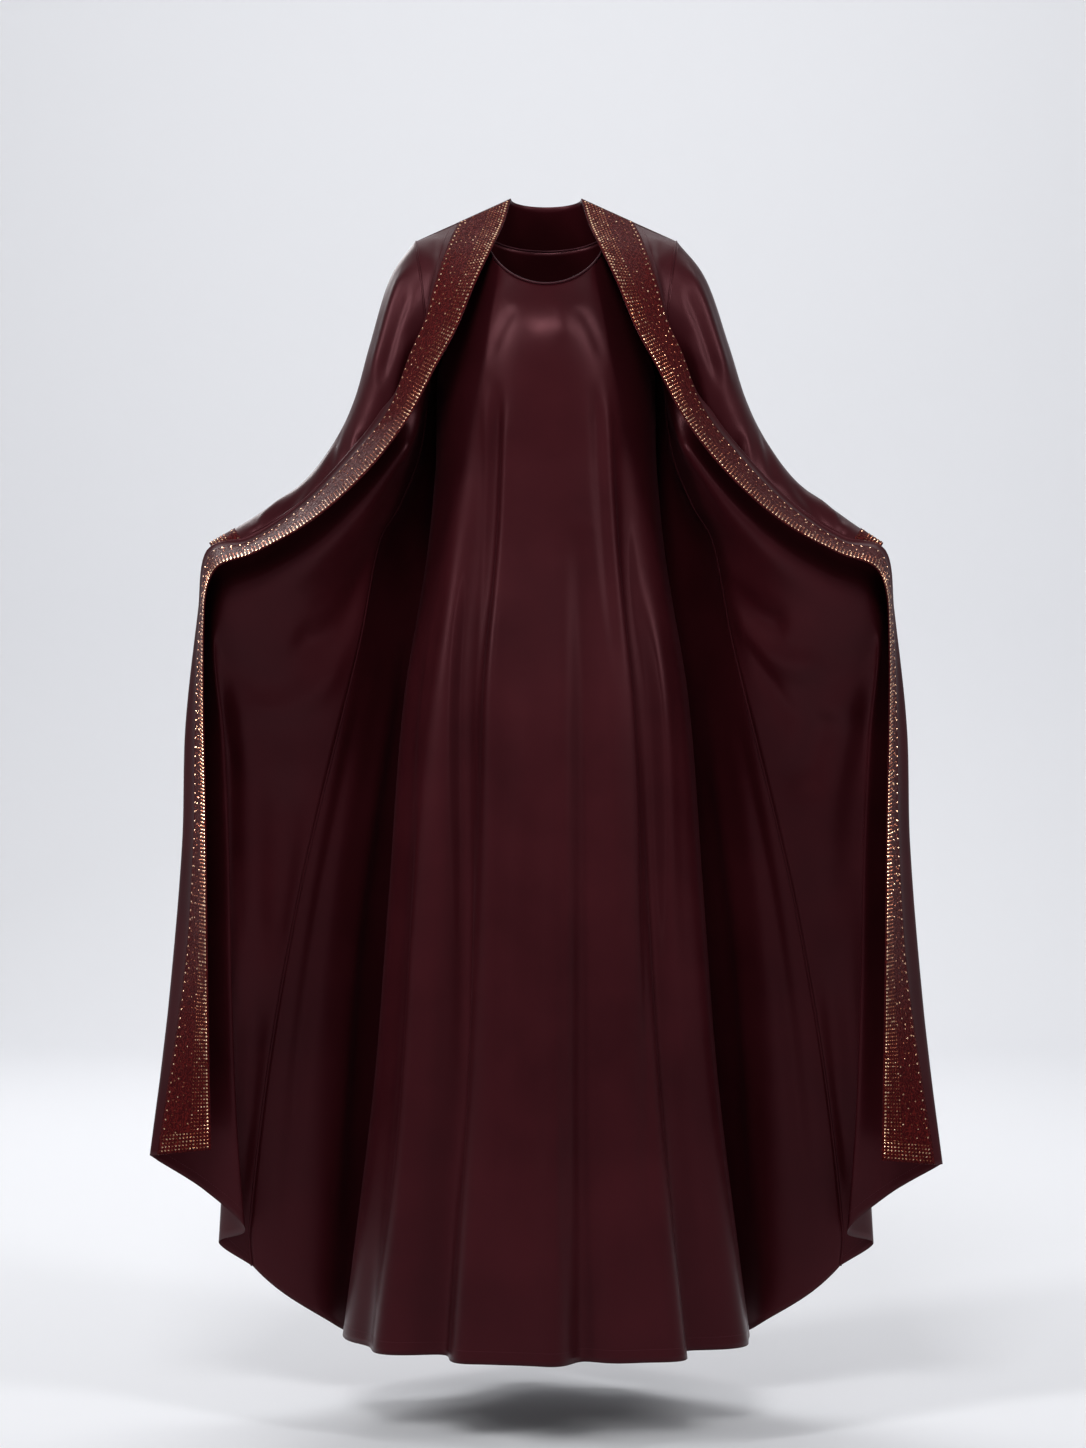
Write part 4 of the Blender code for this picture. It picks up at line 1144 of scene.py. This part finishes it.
def on_side(grid, side):
    """A grid with out positive placed on its own side, the right one with a lower front corner."""
    grid = np.array(grid, dtype=float)
    if side == "left":
        return mirrored(grid)
    share = smooth_step((DROP_START - grid[:, 0, 2]) / DROP_SPAN)
    across = smooth_step(1.0 - front_columns[:grid.shape[1]] / front_columns[-1])
    grid[:, :, 2] -= RIGHT_CORNER_DROP * share[:, None] * across[None, :]
    return grid


front_grids = {"left": left_front, "right": right_front}
placed_fronts = {}
placed_bands = {}
fronts = {}
bands = {}
for side, panel in front_grids.items():
    placed_fronts[side] = on_side(panel, side)
    placed_bands[side] = on_side(moved_out(panel, BAND_LIFT)[:, :BAND_STEPS + 1], side)
    fronts[side] = sew("front_cloth_" + side, placed_fronts[side], satin)
    bands[side] = sew("front_band_cloth_" + side, placed_bands[side], band_cloth, wall=BAND_WALL)
print("front panel area:", round(cloth_area(left_front), 3), "square metres")

# %% Back, sleeves, cuffs and dress
BAND_WIDTH = 0.074
NECK_BAND_LIFT = 0.0010
NECK_BAND_START = 0.001
NECK_BAND_STEPS = (96, 16)
CUFF_START = 7.0


def neck_band_points(length_steps, width_steps):
    """Band round the back of the neck, from the neckline down, between the two shoulder seams."""
    seam_length = np.linalg.norm(armhole(0.0) - along(FREE_EDGE, 0.0))
    outer_share = SHOULDER_SHARE * (1.0 - BAND_WIDTH / seam_length)
    rows = []
    for width in np.linspace(0.0, 1.0, width_steps + 1):
        row = []
        for along_neck in np.linspace(-1.0, 1.0, length_steps + 1):
            side = 1.0 if along_neck >= 0.0 else -1.0
            inner = 1.0 - abs(along_neck)
            upper = SHOULDER_SHARE + (1.0 - SHOULDER_SHARE) * inner
            lower = outer_share + (1.0 - outer_share) * inner
            station = BAND_WIDTH * math.sin(math.pi / 2 * inner) * width + NECK_BAND_START
            row.append(back_point(side * (1.0 - upper - (lower - upper) * width), station))
        rows.append(row)
    return np.array(rows)


back = sew("back_cloth", back_cloth, satin)
# Turned columns make the normals of these grids point away from the wearer.
neck_band_grid = moved_out(neck_band_points(*NECK_BAND_STEPS)[:, ::-1], NECK_BAND_LIFT)
neck_band = sew("neck_band_cloth", neck_band_grid, band_cloth, wall=BAND_WALL)
sleeves = {}
cuffs = {}
cuff_grids = {}
for side in ("left", "right"):
    sleeve = sleeve_cloth[:, ::-1].copy()
    if side == "right":
        sleeve[:, :, 0] += elbow_shift[:, None]
    cuff = moved_out(sleeve, BAND_LIFT, closed=True)[ring_positions >= CUFF_START]
    if side == "left":
        sleeve, cuff = mirrored(sleeve), mirrored(cuff)
    cuff_grids[side] = cuff
    sleeves[side] = sew("sleeve_cloth_" + side, sleeve, satin, closed=True)
    cuffs[side] = sew("cuff_band_cloth_" + side, cuff, band_cloth, wall=BAND_WALL, closed=True)
dress_front = sew("dress_front_cloth", dress_front_cloth, satin)
dress_back = sew("dress_back_cloth", dress_back_cloth, satin)
print("sleeve area:", round(cloth_area(sleeve_cloth, closed=True), 3), "square metres")

# %% [markdown]
# Rows of studs
# One faceted stud is a ring, a smaller ring above it and a flat top. The same stud is copied to
# every place in the pattern, turned to the cloth's own normal, and all copies are joined into one
# mesh. The pattern is worked out in the band's own measures: even rows along the free edge, a loose
# scatter in the middle and a spaced line along the inner border.

# %% Stud helper
STUD_SIDES = 8
STUD_HEIGHT_SHARE = 0.55
TABLE_SHARE = 0.58


def press_studs(name, places):
    """One joined mesh of faceted studs. Places: (point, normal, radius, tone number)."""
    turns = 2.0 * np.pi * np.arange(STUD_SIDES) / STUD_SIDES
    ring = np.stack((np.cos(turns), np.sin(turns), np.zeros(STUD_SIDES)), axis=1)
    table = ring * TABLE_SHARE + np.array((0.0, 0.0, STUD_HEIGHT_SHARE))
    stud = np.concatenate((ring, table))
    stud_faces = [
        (i, (i + 1) % STUD_SIDES, STUD_SIDES + (i + 1) % STUD_SIDES, STUD_SIDES + i)
        for i in range(STUD_SIDES)
    ]
    stud_faces.append(tuple(STUD_SIDES + i for i in range(STUD_SIDES)))
    stud_faces.append(tuple(reversed(range(STUD_SIDES))))
    points, faces, tones = [], [], []
    for index, (point, normal, radius, tone) in enumerate(places):
        side = np.cross(normal, (0.0, 1.0, 0.01))
        side /= np.linalg.norm(side)
        frame_axes = np.stack((side, np.cross(normal, side), normal))
        points.append(point + radius * stud @ frame_axes)
        first = index * len(stud)
        faces += [tuple(first + corner for corner in face) for face in stud_faces]
        tones += [tone] * len(stud_faces)
    piece = mesh_object(name, np.concatenate(points), faces, smooth=False)
    for material in stud_materials:
        piece.data.materials.append(material)
    piece.data.polygons.foreach_set("material_index", tones)
    return piece


class Surface:
    """A grid that can be read at any place measured in metres along and across it."""

    def __init__(self, grid, closed=False):
        self.grid = np.concatenate((grid, grid[:, :1]), axis=1) if closed else grid
        normals = grid_normals(grid, closed)
        self.normals = np.concatenate((normals, normals[:, :1]), axis=1) if closed else normals
        self.rows = lengths_along(self.grid, 0)
        self.columns = lengths_along(self.grid, 1)

    def read(self, down, across):
        point = at_place(self.grid, self.rows, self.columns, (down, across))
        normal = at_place(self.normals, self.rows, self.columns, (down, across))
        return point, normal / np.linalg.norm(normal)


print("one stud has", 2 * STUD_SIDES + 2 * (STUD_SIDES - 2), "triangles")

# %% Studs of the bands
STUD_LIFT = 0.5 * BAND_WALL
ROW_START = 0.0042
ROW_GAP = 0.0046
ROW_COUNT = 6
STUD_GAP = 0.0047
SCATTER_CELL = 0.0088
BORDER_GAP = 0.0112
BIG_STUD = 0.00150
SMALL_STUD = 0.00115
HEM_ROWS = 5
# How often a stud is a bright one, for each row from the free edge.
BRIGHT_SHARES = (0.90, 0.34, 0.16, 0.12, 0.10, 0.10)
ROSE_SHARE = 0.65
SCATTER_SHARE = 0.62
SCATTER_TONES = (0.22, 0.38, 0.40)
SCATTER_SHIFT = 0.0028
HEM_BRIGHT_SHARE = 0.55
FRONT_SEED = 11
NECK_SEED = 31


def band_pattern(length, width, hem_rows, seed):
    """Places of studs on a band: (down, across, radius, tone), across from the free edge."""
    rng = np.random.default_rng(seed)
    places = []
    hem_start = length - ROW_START - (hem_rows - 0.5) * ROW_GAP if hem_rows else length
    for row in range(ROW_COUNT):
        across = ROW_START + row * ROW_GAP
        for down in np.arange(0.004, hem_start, STUD_GAP):
            bright = rng.random() < BRIGHT_SHARES[row]
            tone = 0 if bright else (1 if rng.random() < ROSE_SHARE else 2)
            radius = BIG_STUD if row == 0 else SMALL_STUD * rng.uniform(0.88, 1.08)
            places.append((down, across, radius, tone))
    scatter_start = ROW_START + ROW_COUNT * ROW_GAP + 0.002
    for down in np.arange(0.006, hem_start, SCATTER_CELL):
        for across in np.arange(scatter_start, width - 0.010, SCATTER_CELL):
            if rng.random() < SCATTER_SHARE:
                shift = rng.uniform(-SCATTER_SHIFT, SCATTER_SHIFT, 2)
                tone = rng.choice(3, p=SCATTER_TONES)
                radius = SMALL_STUD * rng.uniform(0.75, 1.15)
                places.append((down + shift[0], across + shift[1], radius, tone))
    for down in np.arange(0.005, hem_start, BORDER_GAP):
        places.append((down, width - 0.0052, SMALL_STUD * 1.12, 0))
    for row in range(hem_rows):
        down = length - ROW_START - row * ROW_GAP
        for across in np.arange(ROW_START, width - 0.003, STUD_GAP):
            tone = 0 if rng.random() < HEM_BRIGHT_SHARE else 1
            places.append((down, across, SMALL_STUD * 1.08, tone))
    return places


def studs_on(name, grid, pattern, turned=False, closed=False):
    """Studs pressed onto a band; turned reads the band's width from its last column."""
    surface = Surface(grid, closed)
    width = surface.columns[-1]
    places = []
    for down, across, radius, tone in pattern:
        point, normal = surface.read(down, width - across if turned else across)
        places.append((point + normal * STUD_LIFT, normal, radius, int(tone)))
    return press_studs(name, places)


band_studs = {}
for number, (side, placed) in enumerate(placed_bands.items()):
    surface = Surface(placed)
    pattern = band_pattern(surface.rows[-1], surface.columns[-1], HEM_ROWS, FRONT_SEED + number)
    band_studs[side] = studs_on("front_studs_" + side, placed, pattern, turned=side == "left")
    print(side, "band studs:", len(pattern))

# %% Studs of the neck band and the cuffs
neck_surface = Surface(neck_band_grid)
round_the_neck = band_pattern(neck_surface.columns[-1], neck_surface.rows[-1], 0, NECK_SEED)
neck_pattern = [(across, down, radius, tone) for down, across, radius, tone in round_the_neck]
neck_studs = studs_on("neck_studs", neck_band_grid, neck_pattern)

CUFF_ROWS = 5
CUFF_SCATTER = 0.0105
CUFF_SHIFT = 0.003
CUFF_BRIGHT_SHARE = 0.35
CUFF_TONES = (0.4, 0.4, 0.2)
CUFF_EDGE = 0.003
CUFF_SEED = 51
cuff_studs = {}
for number, side in enumerate(("left", "right")):
    surface = Surface(cuff_grids[side], closed=True)
    length, girth = surface.rows[-1], surface.columns[-1]
    rng = np.random.default_rng(CUFF_SEED + number)
    pattern = []
    for row in range(CUFF_ROWS):
        for across in np.arange(0.0, girth - 0.5 * STUD_GAP, STUD_GAP):
            tone = 0 if rng.random() < CUFF_BRIGHT_SHARE else 1
            pattern.append((length - CUFF_EDGE - row * ROW_GAP, across, SMALL_STUD, tone))
    for down in np.arange(CUFF_EDGE, length - CUFF_EDGE - CUFF_ROWS * ROW_GAP, CUFF_SCATTER):
        for across in np.arange(0.004, girth, CUFF_SCATTER):
            shift = rng.uniform(-CUFF_SHIFT, CUFF_SHIFT, 2)
            place = (down + abs(shift[0]), min(max(across + shift[1], 0.0), girth))
            pattern.append((*place, SMALL_STUD * rng.uniform(0.8, 1.1), rng.choice(3, p=CUFF_TONES)))
    cuff_studs[side] = studs_on("cuff_studs_" + side, cuff_grids[side], pattern, closed=True)
    print(side, "cuff studs:", len(pattern))
print("neck studs:", len(neck_pattern))

# %% [markdown]
# Seams, hems and stitches
# A garment is held together by its seams, and they show on satin as narrow raised lines, because
# the seam allowance is folded flat underneath. Each seam is a flattened cord along the line where
# two panels meet. Hems and band edges carry a row of small separate stitches.

# %% Seams
SEAM_RADIUS = 0.0016
SEAM_FLATNESS = 0.45
SEAM_DEPTH = 0.0006
SEWN_RADIUS = 0.0012
SHOULDER_SEAM_LIFT = 0.0003
ARMHOLE_OUT = 0.0006
ARMHOLE_STEPS = 90


def seam(name, grid, column, inward):
    """A flattened seam along one column of a panel, just inside or outside of it."""
    normals = grid_normals(grid)[:, column]
    path = grid[:, column] - normals * inward
    return tube(name, path, SEAM_RADIUS, satin, flat=SEAM_FLATNESS, ups=normals)


seams = []
for side, placed in placed_fronts.items():
    below_arm = placed[front_stations >= UNDERARM_STATION]
    seams.append(seam("side_seam_" + side, below_arm, 0 if side == "left" else -1, SEAM_DEPTH))
    shoulder = placed[0] + (0.0, 0.0, SHOULDER_SEAM_LIFT)
    seams.append(tube("shoulder_seam_" + side, shoulder, SEWN_RADIUS, satin, flat=0.5))
    out = -1.0 if side == "left" else 1.0
    turns = np.linspace(0.0, 360.0, ARMHOLE_STEPS, endpoint=False)
    around = np.array([armhole(turn) + (ARMHOLE_OUT, 0.0, 0.0) for turn in turns]) * (out, 1.0, 1.0)
    ups = np.tile((1.0, 0.0, 0.0), (ARMHOLE_STEPS, 1))
    seams.append(tube("armhole_seam_" + side, around, SEWN_RADIUS, satin, closed=True, ups=ups))
print("seams:", len(seams))

# %% Stitches
STITCH_LENGTH = 0.0026
STITCH_PITCH = 0.0036
STITCH_RADIUS = 0.00022
HEM_DEPTH = 0.013


def stitches(name, path, normals):
    """Small separate stitches along a path, joined into one mesh."""
    path, normals = np.array(path), np.array(normals)
    travelled = np.concatenate(([0.0], np.cumsum(np.linalg.norm(np.diff(path, axis=0), axis=1))))
    points, faces = [], []
    for number, start in enumerate(np.arange(STITCH_PITCH, travelled[-1] - STITCH_PITCH, STITCH_PITCH)):
        marks = start + np.array((0.0, 0.25, 0.75, 1.0)) * STITCH_LENGTH
        centres = np.stack([np.interp(marks, travelled, path[:, k]) for k in range(3)], axis=1)
        ups = np.stack([np.interp(marks, travelled, normals[:, k]) for k in range(3)], axis=1)
        run = centres[-1] - centres[0]
        run /= max(np.linalg.norm(run), 1e-9)
        side = np.cross(run, ups[0])
        side /= max(np.linalg.norm(side), 1e-9)
        for centre, up, size in zip(centres, ups, (0.25, 1.0, 1.0, 0.25)):
            for across, rise in ((1, 0), (0, 1), (-1, 0), (0, -1)):
                points.append(centre + STITCH_RADIUS * size * (side * across + up * rise))
        first = number * 16
        faces += [tuple(first + int(i) for i in face) for face in grid_faces(4, 4, closed=True)]
        faces += [(first, first + 1, first + 2, first + 3), (first + 15, first + 14, first + 13, first + 12)]
    piece = mesh_object(name, points, faces)
    piece.data.materials.append(thread)
    return piece


def stitch_line(name, grid, lift, column=None, hem=None):
    """Stitches on a grid's outer face, down one column or along the hem at a height above it."""
    normals = grid_normals(grid)
    if column is not None:
        path, ups = grid[:, column], normals[:, column]
    else:
        row = int(np.argmin(abs(lengths_along(grid, 0) - (lengths_along(grid, 0)[-1] - hem))))
        path, ups = grid[row], normals[row]
    return stitches(name, path + ups * lift, ups)


OUTSIDE_LIFT = 0.5 * SATIN_WALL + 0.5 * STITCH_RADIUS
ON_BAND_LIFT = 0.5 * BAND_WALL + 0.5 * STITCH_RADIUS
sewing = [
    stitch_line("back_hem_stitches", back_cloth[:, ::-1], OUTSIDE_LIFT, hem=HEM_DEPTH),
    stitch_line("dress_front_hem_stitches", dress_front_cloth, OUTSIDE_LIFT, hem=HEM_DEPTH),
    stitch_line("dress_back_hem_stitches", dress_back_cloth[:, ::-1], OUTSIDE_LIFT, hem=HEM_DEPTH),
]
for side in ("left", "right"):
    hem_name, edge_name = "front_hem_stitches_" + side, "band_edge_stitches_" + side
    edge_column = -2 if side == "right" else 1
    sewing.append(stitch_line(hem_name, placed_fronts[side], -OUTSIDE_LIFT, hem=HEM_DEPTH))
    sewing.append(stitch_line(edge_name, placed_bands[side], ON_BAND_LIFT, column=edge_column))
print("stitched lines:", len(sewing))

# %% [markdown]
# The bound neckline
# The dress ends at the neck in a narrow rolled binding. Its finish is painted darker than the satin as
# painted shade, because its fold turns away from the light. It is a smooth closed cord on the neckline.

# %% Neck binding
BINDING_RADIUS = 0.0014
BINDING_LIFT = 0.0018
BINDING_STEPS = 60
neckline = []
for facing in (1, -1):
    for step in range(BINDING_STEPS):
        across = facing * (-1.0 + 2.0 * step / BINDING_STEPS)
        inner = DRESS_SHOULDER_SHARE + (1.0 - DRESS_SHOULDER_SHARE) * (1.0 - abs(across))
        point = dress_top(inner, facing)
        neckline.append((math.copysign(point[0], across), point[1], point[2] + BINDING_LIFT))
binding = tube("neck_binding_roll", neckline, BINDING_RADIUS, binding_satin_painted_shade, sides=12, closed=True)
print("neckline length:", round(float(np.linalg.norm(np.diff(neckline, axis=0), axis=1).sum()), 3), "m")

# %% [markdown]
# Tie every piece to the frame
# Each cloth piece stands for one solid of the frame. The studs and the sewing ride with the garment
# but replace nothing.


# Columns: piece, node it stands for, slot, its grid, closed round, how it is held, what it lies on.
TIES = [
    (dress_front, "dress_front", "satin", dress_front_cloth, False, "hung", []),
    (dress_back, "dress_back", "satin", dress_back_cloth, False, "hung", []),
    (back, "abaya_back", "satin", back_cloth, False, "draped", []),
    (neck_band, "neck_band", "band_cloth", neck_band_grid, False, "laid", ["back_cloth"]),
]
for side in ("left", "right"):
    panel = front_grids[side]
    TIES += [
        (fronts[side], "abaya_front_" + side, "satin", panel, False, "draped", []),
        (bands[side], "front_band_" + side, "band_cloth", panel[:, :BAND_STEPS + 1], False, "laid",
         ["front_cloth_" + side]),
        (sleeves[side], "sleeve_" + side, "satin", sleeve_cloth, True, "draped", []),
        (cuffs[side], "cuff_band_" + side, "band_cloth", cuff_grids[side], True, "laid",
         ["sleeve_cloth_" + side]),
    ]
for piece, node, slot, grid, closed, held, rests_on in TIES:
    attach(piece, "root")
    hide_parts(node)
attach(binding, "root")
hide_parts("dress_neck_binding")
for piece in [*band_studs.values(), neck_studs, *cuff_studs.values()]:
    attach(piece, "root")
for piece in seams:
    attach(piece, "root")
for piece in sewing:
    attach(piece, "root")
